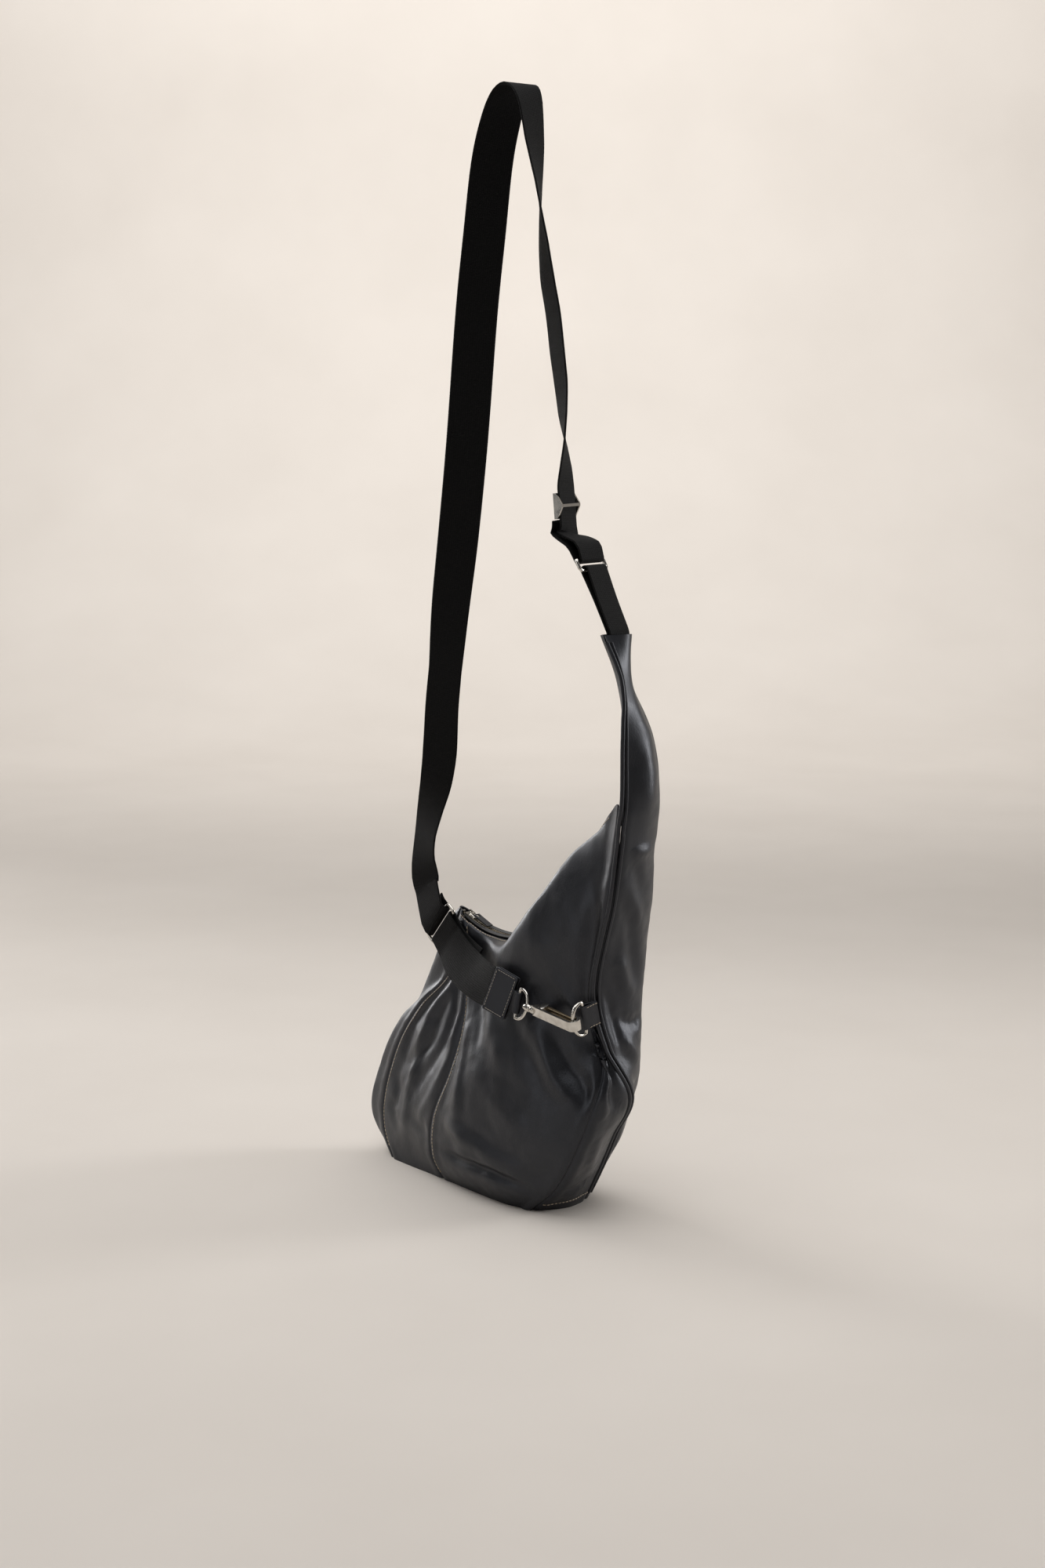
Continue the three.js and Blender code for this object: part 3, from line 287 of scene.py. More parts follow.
# Soft folds of the leather: from and to (place round, row), half width and height in mm.
FOLDS = [
    # left gusset: long folds that run down from the gathered corner
    ((0.30, 6.4), (0.20, 2.2), 8, -3.0), ((0.46, 6.0), (0.38, 1.4), 9, 3.4), ((0.68, 5.6), (0.60, 2.4), 8, -3.0),
    ((0.82, 4.6), (0.80, 1.6), 8, 1.8), ((0.66, 4.3), (0.24, 2.7), 9, -1.7), ((0.20, 3.9), (0.64, 2.2), 9, 1.4),
    ((0.12, 2.4), (0.50, 1.5), 9, -2.4), ((0.70, 2.0), (0.90, 1.0), 9, -1.6),
    # front panel: drag lines from the band and the hook, and the soft break above the base
    ((1.5, 6.2), (2.0, 3.4), 13, -3.0), ((2.3, 5.4), (2.7, 3.2), 15, 2.2), ((3.2, 4.8), (3.9, 3.0), 15, -2.2),
    ((1.4, 3.2), (2.1, 1.2), 17, 2.2), ((1.15, 1.45), (3.9, 0.95), 6, -4.2), ((1.4, 1.95), (3.7, 1.5), 10, 2.8),
    ((3.6, 1.3), (4.7, 1.7), 10, -2.0), ((1.2, 4.3), (1.7, 2.4), 9, 2.2), ((2.6, 2.9), (3.6, 2.0), 18, 2.0),
    # hollow that the hook pulls in under its ring
    ((4.1, 4.3), (4.9, 2.9), 12, -4.0), ((4.7, 4.6), (5.7, 3.5), 9, -4.2), ((4.4, 5.3), (5.2, 4.2), 9, 2.0),
    ((5.4, 4.9), (6.4, 4.2), 7, -2.8), ((3.9, 4.3), (4.4, 3.0), 11, 2.4), ((4.95, 3.6), (5.6, 2.7), 7, 2.2),
    # hood
    ((4.2, 6.8), (4.7, 5.2), 18, -1.2), ((5.9, 6.6), (6.1, 5.0), 12, -1.6),
    # side panel and the foot of the horn
    ((7.3, 6.9), (8.3, 6.1), 9, -1.6), ((7.2, 6.4), (8.6, 5.6), 9, 1.5), ((7.4, 5.9), (8.6, 5.1), 9, -2.0),
    ((7.3, 5.4), (8.3, 4.9), 8, 2.4), ((7.5, 4.7), (8.7, 4.4), 8, -2.8), ((7.3, 4.2), (8.4, 3.6), 8, 2.4),
    ((7.4, 3.2), (8.5, 2.6), 9, -2.2), ((7.6, 7.6), (8.4, 7.0), 8, 2.0), ((7.2, 5.0), (7.7, 4.0), 6, -2.0),
    # right gusset
    ((5.4, 3.3), (6.4, 2.9), 7, -2.4), ((5.6, 2.2), (6.3, 1.4), 9, 1.6), ((5.3, 1.0), (6.6, 0.8), 7, -2.0),
    # back
    ((9.6, 5.2), (11.2, 3.4), 14, -3.0), ((10.4, 5.4), (12.2, 3.6), 13, 2.6), ((11.6, 5.6), (13.0, 3.2), 13, -3.0),
    ((9.8, 1.0), (13.2, 0.9), 9, -2.6), ((12.6, 4.8), (14.0, 2.4), 12, 2.6), ((10.2, 3.2), (11.8, 1.6), 16, 2.0),
]
SEAM_DIP = 1.3
SEAM_PUFF = 0.7
NO_SEAM = 99                     # distance used where a guide carries no seam


def fold_height(grid):
    height = np.zeros(grid.shape[:2])
    for start, end, half_width, depth in FOLDS:
        shares = np.linspace(0, 1, 14)
        line = []
        for share in shares:
            place = start[0] + (end[0] - start[0]) * share + 0.10 * math.sin(share * 5 + start[0] * 7)
            row = start[1] + (end[1] - start[1]) * share + 0.10 * math.sin(share * 4 + end[1] * 5)
            line.append(grid[column_at(place), int(row * PER_ROW)])
        nearest = np.full(grid.shape[:2], 1e9)
        along = np.zeros(grid.shape[:2])
        for index in range(len(line) - 1):
            base, step = line[index], line[index + 1] - line[index]
            share = np.clip(((grid - base) @ step) / (step @ step + 1e-6), 0, 1)
            far = np.linalg.norm(grid - base - share[..., None] * step, axis=2)
            closer = far < nearest
            nearest = np.where(closer, far, nearest)
            along = np.where(closer, (index + share) / (len(line) - 1), along)
        ratio = nearest / half_width
        taper = np.sin(np.pi * np.clip(along, 0.02, 0.98)) ** 0.7
        height += depth * taper * (1 - 0.8 * ratio ** 2) * np.exp(-ratio ** 2)
    return height


def uneven(grid, size, seed):
    """Smooth noise over the surface, with features of about size mm."""
    offset = Vector((seed * 17.3, seed * 5.1, seed * 9.7))
    flat = grid.reshape(-1, 3) / size
    values = [noise.noise(Vector(point) + offset) for point in flat]
    return np.array(values).reshape(grid.shape[:2])


def shaped_body():
    """The body's fine grid with folds, unevenness and seams."""
    grid = body_surface()
    normals = normals_of(grid, closed=True)
    seams = [distance_round(grid, place_of(name)) for name in ("left_seam", "front_seam", "piped_seam")]
    gusset = distance_round(grid, place_of("gusset_seam"))
    seams.append(np.where(ROWS[None, :] <= GUSSET_TOP, gusset, NO_SEAM))
    near = np.minimum.reduce(seams)
    height = fold_height(grid) + 2.0 * uneven(grid, 58, 1) + 0.8 * uneven(grid, 24, 2)
    height = height + 0.25 * uneven(grid, 10, 3)
    calm = smoothstep(near, 1, 12)
    foot = smoothstep(ROWS, 0.02, 0.7)[None, :]
    rim = 1 - 0.92 * smoothstep(ROWS, 7.0, 7.9)[None, :]
    height = height * (0.25 + 0.75 * calm) * foot * rim
    height = height - SEAM_DIP * np.exp(-(near / 1.7) ** 2) + SEAM_PUFF * np.exp(-((near - 7) / 5) ** 2)
    return grid + normals * height[..., None]


def shaped_horn():
    grid = horn_surface(BODY)
    normals = normals_of(grid)
    rows = np.concatenate([[0], HORN_ROWS])
    height = (1.0 * uneven(grid, 40, 1) + 0.5 * uneven(grid, 18, 4)) * smoothstep(rows, 0, 0.6)[None, :]
    return grid + normals * height[..., None]


BODY = shaped_body()
HORN_GRID = shaped_horn()


def raise_hood_tip():
    """Carries the hood's right end up along the piping, so that it runs on into the horn."""
    first, last = column_at(place_of("gusset") - 0.1), column_at(place_of("piped_seam") - 0.035)
    shares = smoothstep(AROUND[first:last + 1], place_of("gusset") - 0.1, place_of("piped_seam") - 0.2)
    levels = smoothstep(ROWS, 7.0, 8.0)
    target = HORN_GRID[0, int(0.6 * PER_ROW)] + np.array([-0.6, -0.4, 0])
    corner = BODY[last, -1]
    BODY[first:last + 1] += (target - corner) * shares[:, None, None] * levels[None, :, None]


raise_hood_tip()
INNER_GRID = inner_surface()
BODY_NORMALS = normals_of(BODY, closed=True)


def on_body(place, row, lift=0.0):
    """Point of the shaped surface at a place round it and a row, lifted off it."""
    place = place % len(GUIDES)
    level = min(max(row * PER_ROW, 0), len(ROWS) - 1.001)
    i, j = int(np.searchsorted(AROUND, place, side="right")) - 1, int(level)
    after = AROUND[i + 1] if i + 1 < len(AROUND) else len(GUIDES)
    s, t = (place - AROUND[i]) / (after - AROUND[i]), level - j
    total = np.zeros(3)
    weights = ((0, 0, (1 - s) * (1 - t)), (1, 0, s * (1 - t)), (0, 1, (1 - s) * t), (1, 1, s * t))
    for di, dj, weight in weights:
        k = (i + di) % len(AROUND)
        total += weight * (BODY[k, j + dj] + lift * BODY_NORMALS[k, j + dj])
    return total


# ---- materials ----
class Nodes:
    """Short way to build one material's node tree."""

    def __init__(self, name):
        self.material = bpy.data.materials.new(name)
        self.material.use_nodes = True
        self.tree = self.material.node_tree
        self.shader = self.tree.nodes["Principled BSDF"]

    def add(self, kind, **values):
        node = self.tree.nodes.new(kind)
        for key, value in values.items():
            if hasattr(node, key):
                setattr(node, key, value)
            else:
                node.inputs[key.replace("_", " ")].default_value = value
        return node

    def link(self, source, target):
        self.tree.links.new(source, target)

    def coordinates(self, kind="Object"):
        return self.add("ShaderNodeTexCoord").outputs[kind]

    def noise(self, where, scale, detail=3.0, roughness=0.55):
        node = self.add("ShaderNodeTexNoise", Scale=scale, Detail=detail, Roughness=roughness)
        self.link(where, node.inputs["Vector"])
        return node.outputs["Fac"]

    def remap(self, value, low, high, to_low, to_high):
        node = self.add("ShaderNodeMapRange")
        for index, number in ((1, low), (2, high), (3, to_low), (4, to_high)):
            node.inputs[index].default_value = number
        self.link(value, node.inputs[0])
        return node.outputs[0]

    def mix(self, factor, first, second):
        node = self.add("ShaderNodeMix", data_type="RGBA")
        self.link(factor, node.inputs[0])
        node.inputs[6].default_value = (*first, 1)
        node.inputs[7].default_value = (*second, 1)
        return node.outputs[2]

    def maths(self, operation, first, second):
        node = self.add("ShaderNodeMath", operation=operation)
        for index, value in enumerate((first, second)):
            if isinstance(value, (int, float)):
                node.inputs[index].default_value = value
            else:
                self.link(value, node.inputs[index])
        return node.outputs[0]

    def bump(self, height, distance, strength=1.0, under=None):
        node = self.add("ShaderNodeBump", Strength=strength, Distance=distance)
        self.link(height, node.inputs["Height"])
        if under is not None:
            self.link(under, node.inputs["Normal"])
        return node.outputs["Normal"]

    def finish(self, colour=None, rough=None, normal=None, **sockets):
        for value, socket in ((colour, "Base Color"), (rough, "Roughness"), (normal, "Normal")):
            if value is None:
                continue
            self.link(value, self.shader.inputs[socket])
        for key, value in sockets.items():
            self.shader.inputs[key.replace("_", " ")].default_value = value
        return self.material


def leather(name, dark, light, rough, grain=760.0, depth=0.00016):
    """Full-grain leather: pebbled grain and soft cloudy colour."""
    n = Nodes(name)
    where = n.coordinates()
    clouds = n.noise(where, 16, 4)
    colour = n.mix(n.remap(clouds, 0.35, 0.7, 0, 1), dark, light)
    cells = n.add("ShaderNodeTexVoronoi", feature="SMOOTH_F1", Scale=grain, Smoothness=0.6)
    n.link(where, cells.inputs["Vector"])
    pores = n.noise(where, grain * 2.2, 2)
    creases = n.noise(where, 120, 5, 0.7)
    pebbles = n.maths("MULTIPLY", cells.outputs["Distance"], 0.7)
    height = n.maths("ADD", pebbles, n.maths("MULTIPLY", pores, 0.35))
    fine = n.bump(height, depth, 0.55)
    normal = n.bump(creases, 0.0009, 0.22, fine)
    smudges = n.noise(where, 42, 5, 0.65)
    low, high = rough
    worn = n.remap(smudges, 0.3, 0.7, low, high)
    return n.finish(colour, worn, normal, Specular_IOR_Level=0.55, Specular_Tint=(0.86, 0.9, 1.0, 1))


def woven_band(name, colour, ribs=0.0013):
    """Ribbed webbing, read from the band's own map: u across it and v along it, in metres."""
    n = Nodes(name)
    where = n.coordinates("UV")
    axes = n.add("ShaderNodeSeparateXYZ")
    n.link(where, axes.inputs[0])
    along = n.maths("MULTIPLY", axes.outputs["Y"], 2 * math.pi / ribs)
    across = n.maths("MULTIPLY", axes.outputs["X"], 2 * math.pi / (ribs * 1.5))
    rib = n.maths("SINE", along, 0.0)
    yarn = n.maths("SINE", n.maths("ADD", across, n.maths("MULTIPLY", rib, 0.8)), 0.0)
    weave = n.maths("MULTIPLY", n.maths("ADD", rib, 1.2), n.maths("ADD", yarn, 1.6))
    fuzz = n.noise(n.coordinates(), 900, 3)
    height = n.maths("ADD", n.maths("MULTIPLY", weave, 0.2), n.maths("MULTIPLY", fuzz, 0.5))
    dark = tuple(c * 0.55 for c in colour)
    pale = tuple(c * 1.5 + 0.001 for c in colour)
    tone = n.mix(n.remap(weave, 0, 5, 0, 1), dark, pale)
    normal = n.bump(height, 0.00025, 0.7)
    rough = n.remap(fuzz, 0.3, 0.7, 0.78, 0.95)
    return n.finish(tone, rough, normal, Specular_IOR_Level=0.18, Sheen_Weight=0.02, Sheen_Roughness=0.4)


def cloth(name, first, second, thread=0.0007):
    """Plain weave in the surface's own place, for linings and tapes."""
    n = Nodes(name)
    where = n.coordinates()
    axes = n.add("ShaderNodeSeparateXYZ")
    n.link(where, axes.inputs[0])
    slant = n.maths("ADD", axes.outputs["X"], axes.outputs["Y"])
    warp = n.maths("SINE", n.maths("MULTIPLY", slant, 2 * math.pi / thread), 0.0)
    weft = n.maths("SINE", n.maths("MULTIPLY", axes.outputs["Z"], 2 * math.pi / thread), 0.0)
    weave = n.maths("MULTIPLY", warp, weft)
    clouds = n.noise(where, 60, 4)
    mixed = n.maths("ADD", n.maths("MULTIPLY", weave, 0.3), clouds)
    colour = n.mix(n.remap(mixed, 0.1, 0.9, 0, 1), first, second)
    rough = n.remap(clouds, 0.3, 0.7, 0.8, 0.95)
    return n.finish(colour, rough, n.bump(weave, 0.00015, 0.5), Sheen_Weight=0.2)


def plated(name, colour, tarnish, rough):
    """Plated metal with faint brushing, handling smudges and tarnish in the hollows of the noise."""
    n = Nodes(name)
    where = n.coordinates()
    stretched = n.add("ShaderNodeMapping")
    stretched.inputs["Scale"].default_value = (60, 60, 1400)
    n.link(where, stretched.inputs["Vector"])
    brushing = n.noise(stretched.outputs["Vector"], 1.0, 2)
    smudges = n.noise(where, 140, 4)
    tone = n.mix(n.remap(smudges, 0.42, 0.72, 0, 1), colour, tarnish)
    low, high = rough
    worn = n.remap(smudges, 0.3, 0.7, low, high)
    return n.finish(tone, worn, n.bump(brushing, 0.00002, 0.3), Metallic=1.0)


def thread_material(name, dark, light):
    n = Nodes(name)
    where = n.coordinates()
    strands = n.noise(where, 1500, 2)
    tone = n.mix(n.remap(strands, 0.35, 0.65, 0, 1), dark, light)
    return n.finish(tone, n.remap(strands, 0, 1, 0.6, 0.8), n.bump(strands, 0.0001, 0.6), Sheen_Weight=0.3)


def backdrop_material():
    n = Nodes("backdrop_paper")
    where = n.coordinates()
    mottling = n.noise(where, 3, 3)
    tone = n.mix(n.remap(mottling, 0.3, 0.7, 0, 1), (0.655, 0.61, 0.56), (0.685, 0.64, 0.59))
    return n.finish(tone, n.remap(mottling, 0, 1, 0.85, 0.95), None, Specular_IOR_Level=0.2)


SHELL = leather("shell_leather", (0.0055, 0.0058, 0.0072), (0.0095, 0.01, 0.0125), (0.34, 0.48))
TRIM = leather("trim_leather", (0.006, 0.006, 0.0072), (0.010, 0.010, 0.012), (0.34, 0.5), 980.0, 0.0001)
BAND = woven_band("webbing_black", (0.003, 0.0029, 0.003))
LINING = cloth("lining_cotton", (0.13, 0.105, 0.075), (0.20, 0.165, 0.12))
TAPE = cloth("zip_tape_cloth", (0.008, 0.008, 0.009), (0.02, 0.02, 0.021), 0.0005)
NICKEL = plated("nickel_plate", (0.66, 0.64, 0.6), (0.5, 0.47, 0.42), (0.14, 0.26))
BRASS = plated("aged_brass", (0.36, 0.29, 0.19), (0.22, 0.17, 0.11), (0.25, 0.42))
TEETH_METAL = plated("zip_teeth_metal", (0.34, 0.29, 0.22), (0.18, 0.15, 0.11), (0.25, 0.4))
THREAD = thread_material("tan_thread", (0.40, 0.325, 0.235), (0.60, 0.50, 0.375))
GREY_THREAD = thread_material("grey_thread", (0.26, 0.235, 0.20), (0.42, 0.38, 0.32))
BOARD = leather("base_board_fibre", (0.02, 0.019, 0.018), (0.035, 0.033, 0.03), (0.7, 0.85), 300.0)


# ---- mesh helpers ----
SHARP = math.radians(35)         # edges steeper than this stay hard


def piece(name, points, faces, material, body="bag", stands_for=(), slot="shell_leather", uvs=None):
    """A mesh from points in millimetres, riding on a CAD body and standing for CAD nodes."""
    mesh = bpy.data.meshes.new(name)
    places = (np.asarray(points, float) * MM).tolist()
    mesh.from_pydata(places, [], [list(map(int, face)) for face in faces])
    if uvs is not None:
        layer = mesh.uv_layers.new(name="UVMap")
        loops = np.zeros(len(mesh.loops), dtype=np.int64)
        mesh.loops.foreach_get("vertex_index", loops)
        layer.data.foreach_set("uv", (np.asarray(uvs, float)[loops] * MM).ravel())
    mesh.polygons.foreach_set("use_smooth", np.ones(len(mesh.polygons), dtype=bool))
    mesh.set_sharp_from_angle(angle=SHARP)
    mesh.materials.append(material)
    obj = bpy.data.objects.new(name, mesh)
    bpy.context.collection.objects.link(obj)
    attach(obj, body)
    if stands_for:
        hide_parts(*stands_for)
    return obj


def grid_solid(grid, thickness, keep=None):
    """Closed sheet under a grid of outer points: its points and faces. keep masks its cells."""
    columns, rows = grid.shape[:2]
    if keep is None:
        keep = np.ones((columns - 1, rows - 1), dtype=bool)
    normals = normals_of(grid)
    number = np.arange(columns * rows).reshape(columns, rows)
    inside = number + columns * rows
    points = np.concatenate([grid.reshape(-1, 3), (grid - thickness * normals).reshape(-1, 3)])
    i, j = np.nonzero(keep)
    faces = [np.stack([number[i, j], number[i + 1, j], number[i + 1, j + 1], number[i, j + 1]], 1),
             np.stack([inside[i, j], inside[i, j + 1], inside[i + 1, j + 1], inside[i + 1, j]], 1)]
    wide = np.pad(keep, 1)
    for di, dj, first, second in ((0, -1, (0, 0), (1, 0)), (1, 0, (1, 0), (1, 1)),
                                  (0, 1, (1, 1), (0, 1)), (-1, 0, (0, 1), (0, 0))):
        open_side = ~wide[i + 1 + di, j + 1 + dj]
        a, b = i[open_side], j[open_side]
        start = (a + first[0], b + first[1])
        end = (a + second[0], b + second[1])
        faces.append(np.stack([number[end], number[start], inside[start], inside[end]], 1))
    faces = np.concatenate(faces)
    used, numbered = np.unique(faces, return_inverse=True)
    return points[used], numbered.reshape(faces.shape)


def loft(sections, closed_path=False):
    """Points and faces of a solid through rings of points."""
    size = len(sections[0])
    count = len(sections)
    points = np.concatenate(sections)
    faces = []
    for i in range(count if closed_path else count - 1):
        n = (i + 1) % count
        for j in range(size):
            k = (j + 1) % size
            faces.append((i * size + j, i * size + k, n * size + k, n * size + j))
    if not closed_path:
        faces.append(tuple(range(size - 1, -1, -1)))
        faces.append(tuple((count - 1) * size + j for j in range(size)))
    return points, faces


def tube(path, radius, sides):
    """Round tube along a path, with its frame carried along without twisting."""
    path = np.asarray(path, float)
    along = unit(np.gradient(path, axis=0))
    side = np.cross(along[0], np.array([0.0, 0, 1]))
    angles = np.linspace(0, 2 * math.pi, sides, endpoint=False)
    sections = []
    for point, ahead in zip(path, along):
        side = unit(side - ahead * (side @ ahead))
        up = np.cross(ahead, side)
        sections.append(point + radius * (np.cos(angles)[:, None] * side + np.sin(angles)[:, None] * up))
    return loft(sections)


def wire_loop(outline, normal, diameter, sides=20):
    """Closed loop of round wire along a flat outline."""
    outline = np.asarray(outline, float)
    along = unit(np.roll(outline, -1, 0) - np.roll(outline, 1, 0))
    sections = []
    for point, ahead in zip(outline, along):
        outward = np.cross(ahead, normal)
        angles = -np.linspace(0, 2 * math.pi, sides, endpoint=False)
        around = np.cos(angles)[:, None] * outward + np.sin(angles)[:, None] * normal
        sections.append(point + diameter / 2 * around)
    return loft(sections, closed_path=True)


def turn_round(bar, outward, side, radius, count=14):
    angles = np.radians(np.linspace(-90, 90, count + 1))
    return [bar + radius * (math.cos(a) * outward + math.sin(a) * side) for a in angles]


def band_solid(path, across, width, thickness, columns=12):
    """Flat band with rounded selvedges: points, faces and its own map in millimetres."""
    path = np.asarray(path, float)
    along = unit(np.gradient(path, axis=0))
    half = thickness / 2
    flat = np.linspace(-1, 1, columns + 1) * (width / 2 - half)
    profile = [(w, -half) for w in flat] + [(width / 2, 0.0)]
    profile += [(w, half) for w in flat[::-1]] + [(-width / 2, 0.0)]
    sections, uvs = [], []
    gone = np.concatenate([[0], np.cumsum(np.linalg.norm(np.diff(path, axis=0), axis=1))])
    for point, ahead, wide, length in zip(path, along, across, gone):
        wide = unit(wide - ahead * (wide @ ahead))
        normal = np.cross(ahead, wide)
        ring = []
        for w, h in profile:
            ring.append(point + w * wide + h * normal)
            uvs.append((w, length))
        sections.append(np.array(ring))
    points, faces = loft(sections)
    return points, faces, uvs


def resample(path, across, pitch):
    """The same route with evenly close points, smoothed by a spline."""
    path = np.asarray(path, float)
    across = np.asarray(across, float)
    places = []
    for index in range(len(path) - 1):
        count = max(int(np.linalg.norm(path[index + 1] - path[index]) / pitch), 1)
        places.extend(index + np.arange(count) / count)
    places.append(len(path) - 1)
    return spline(path, places), spline(across, places)


def stitch_run(points, normals, length=2.7, pitch=3.7, radius=0.4, sunk=0.1):
    """Separate stitches along a route: points and faces of them all."""
    points, normals = np.asarray(points, float), np.asarray(normals)
    gone = np.concatenate([[0], np.cumsum(np.linalg.norm(np.diff(points, axis=0), axis=1))])

    def at(values, distance):
        return np.array([np.interp(distance, gone, values[:, axis]) for axis in range(3)])

    verts, faces = [], []
    start = pitch / 2
    while start + length < gone[-1]:
        ends = [at(points, start), at(points, start + length)]
        up = unit(at(normals, start + length / 2))
        ahead = unit(ends[1] - ends[0])
        side = np.cross(ahead, up)
        sections = []
        for share in np.linspace(0, 1, 6):
            swell = math.sin(math.pi * (0.08 + 0.84 * share)) ** 0.5
            middle = ends[0] + (ends[1] - ends[0]) * share + up * (radius * (swell - 0.55) - sunk)
            angles = np.linspace(0, 2 * math.pi, 7, endpoint=False)
            around = np.cos(angles)[:, None] * side + np.sin(angles)[:, None] * up
            sections.append(middle + radius * swell * around)
        part_points, part_faces = loft(sections)
        faces.extend([tuple(v + len(verts) for v in face) for face in part_faces])
        verts.extend(part_points.tolist())
        start += pitch
    return verts, faces


def join(parts):
    points, faces = [], []
    for part_points, part_faces in parts:
        faces.extend([tuple(v + len(points) for v in face) for face in part_faces])
        points.extend(np.asarray(part_points).tolist())
    return points, faces


def bevelled(obj, width, segments=3):
    """Rounds an object's hard edges and keeps the result as its mesh."""
    modifier = obj.modifiers.new("bevel", "BEVEL")
    modifier.width = width * MM
    modifier.segments = segments
    modifier.limit_method = "ANGLE"
    modifier.angle_limit = math.radians(30)
    graph = bpy.context.evaluated_depsgraph_get()
    mesh = bpy.data.meshes.new_from_object(obj.evaluated_get(graph))
    obj.modifiers.clear()
    obj.data = mesh
    mesh.polygons.foreach_set("use_smooth", np.ones(len(mesh.polygons), dtype=bool))
    mesh.set_sharp_from_angle(angle=math.radians(50))
    return obj


def carry_over(node, material):
    """A CAD node that stays, with a better material."""
    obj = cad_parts[node]
    obj.data.materials.clear()
    obj.data.materials.append(material)


# ---- leather panels ----
def column(name, shift=0.0):
    return column_at(place_of(name) + shift)


def body_columns(first, last):
    """Columns from the first to the last, going on past the last guide to the first."""
    return np.arange(first, last + 1) % len(AROUND)


def leather_panels():
    gusset_row = GUSSET_TOP * PER_ROW
    left = BODY[body_columns(column("left_seam"), column("front_seam"))]
    piece("left_gusset_leather", *grid_solid(left, LEATHER), SHELL, stands_for=["left_gusset"])

    first, last = column("front_seam"), column("piped_seam", -0.04)
    keep = np.ones((last - first, len(ROWS) - 1), dtype=bool)
    beside = column("gusset_seam") - first
    keep[beside:, :gusset_row] = False
    piece("front_leather", *grid_solid(BODY[body_columns(first, last)], LEATHER, keep), SHELL,
          stands_for=["front_panel"])

    right = BODY[body_columns(column("gusset_seam"), column("piped_seam", -0.04))][:, :gusset_row]
    piece("right_gusset_leather", *grid_solid(right, LEATHER), SHELL, stands_for=["right_gusset"])

    first = column("piped_seam", 0.04)
    body_part = BODY[body_columns(first, len(AROUND))]
    horn_columns = column("back_edge") - first
    offset = first - column("piped_seam")
    horn_part = np.repeat(body_part[:, -1:], len(HORN_ROWS), axis=1)
    horn_part[:horn_columns + 1] = HORN_GRID[offset:offset + horn_columns + 1, 1:]
    full = np.concatenate([body_part, horn_part], axis=1)
    keep = np.ones((full.shape[0] - 1, full.shape[1] - 1), dtype=bool)
    keep[horn_columns:, len(ROWS) - 1:] = False
    piece("back_leather", *grid_solid(full, LEATHER, keep), SHELL, stands_for=["back_panel"])

    inner = INNER_GRID[8:-8]
    piece("horn_facing_leather", *grid_solid(inner, 1.2), SHELL, stands_for=["horn_facing"])


def base_piece():
    """Base leather: a flat slab where it stands, its edge set 4.4 mm inside the walls."""
    outline = BODY[:, 0]
    inward = -normals_of(BODY, closed=True)[:, 0] * np.array([1, 1, 0])
    inward = unit(inward)
    ring = outline + inward * 4.4
    ring[:, 2] = 0
    middle = ring.mean(0)
    shares = (1.0, 0.97, 0.9, 0.75, 0.5, 0.25, 0.04)
    lower = [middle + (ring - middle) * share for share in shares]
    upper = [np.array(section) + np.array([0, 0, 1.6]) for section in lower]
    sections = lower[::-1] + upper
    points, faces = loft(sections)
    piece("base_leather", points, faces, SHELL, stands_for=["bottom_panel"])


def piping_pieces():
    """Cord-filled piping and the turned edge beside it, from the base to the top of the horn."""
    place = place_of("piped_seam")
    rows = np.linspace(0.25, RIM_ROW - 0.01, 230)
    route = [on_body(place, row) for row in rows]
    normals = [on_body(place, row, 1.0) - on_body(place, row) for row in rows]
    side = [unit(on_body(place + 0.25, row) - on_body(place, row)) for row in rows]
    top = HORN_GRID[0, 2:-3:2]
    top_side = unit(HORN_GRID[4, 2:-3:2] - HORN_GRID[0, 2:-3:2])
    top_normals = normals_of(HORN_GRID)[0, 2:-3:2]
    route = np.array(route + list(top))
    normals = unit(np.array(normals + list(top_normals)))
    side = np.array(side + list(top_side))
    outward = unit(normals - 0.9 * side)
    main = route + outward * 2.5
    roll = route + normals * 1.3 + side * 3.2
    parts = [tube(main, 1.9, 14), tube(roll, 1.5, 12)]
    piece("piped_seam", *join(parts), TRIM, stands_for=["piping"], slot="trim_leather")


def stitched(places, rows, lift):
    """Stitches along a line on the leather, given as places round the bag and rows."""
    points = [on_body(place, row, lift) for place, row in zip(places, rows)]
    normals = [on_body(place, row, 1.0) - on_body(place, row) for place, row in zip(places, rows)]
    return stitch_run(points, normals)


def seam_stitches():
    """Topstitching beside the left seams, round the rim and on the base corner."""
    def upwards(place, first, last):
        return stitched(np.full(160, place), np.linspace(first, last, 160), 0.25)

    def level(row, first, last, count, lift):
        return stitched(np.linspace(first, last, count), np.full(count, row), lift)

    tan = [upwards(place_of("left_seam") + 0.07, 0.4, 7.6), upwards(place_of("front_seam") + 0.09, 0.3, 7.4)]
    rim = [level(7.78, place_of("front_seam") - 0.7, place_of("gusset"), 260, 0.2),
           level(7.78, place_of("back_right"), place_of("left_edge") + 0.5, 260, 0.2)]
    corner = level(0.30, place_of("gusset_seam") + 0.05, place_of("piped_seam") - 0.15, 60, 0.25)
    for name, part in (("seam_stitches", join(tan)), ("rim_stitches", join(rim)), ("corner_stitches", corner)):
        piece(name, *part, THREAD, slot="trim_leather")


leather_panels()
base_piece()
piping_pieces()
seam_stitches()


# ---- zip ----
TEETH_REACH = 3.0
TEETH_GAP = 0.8


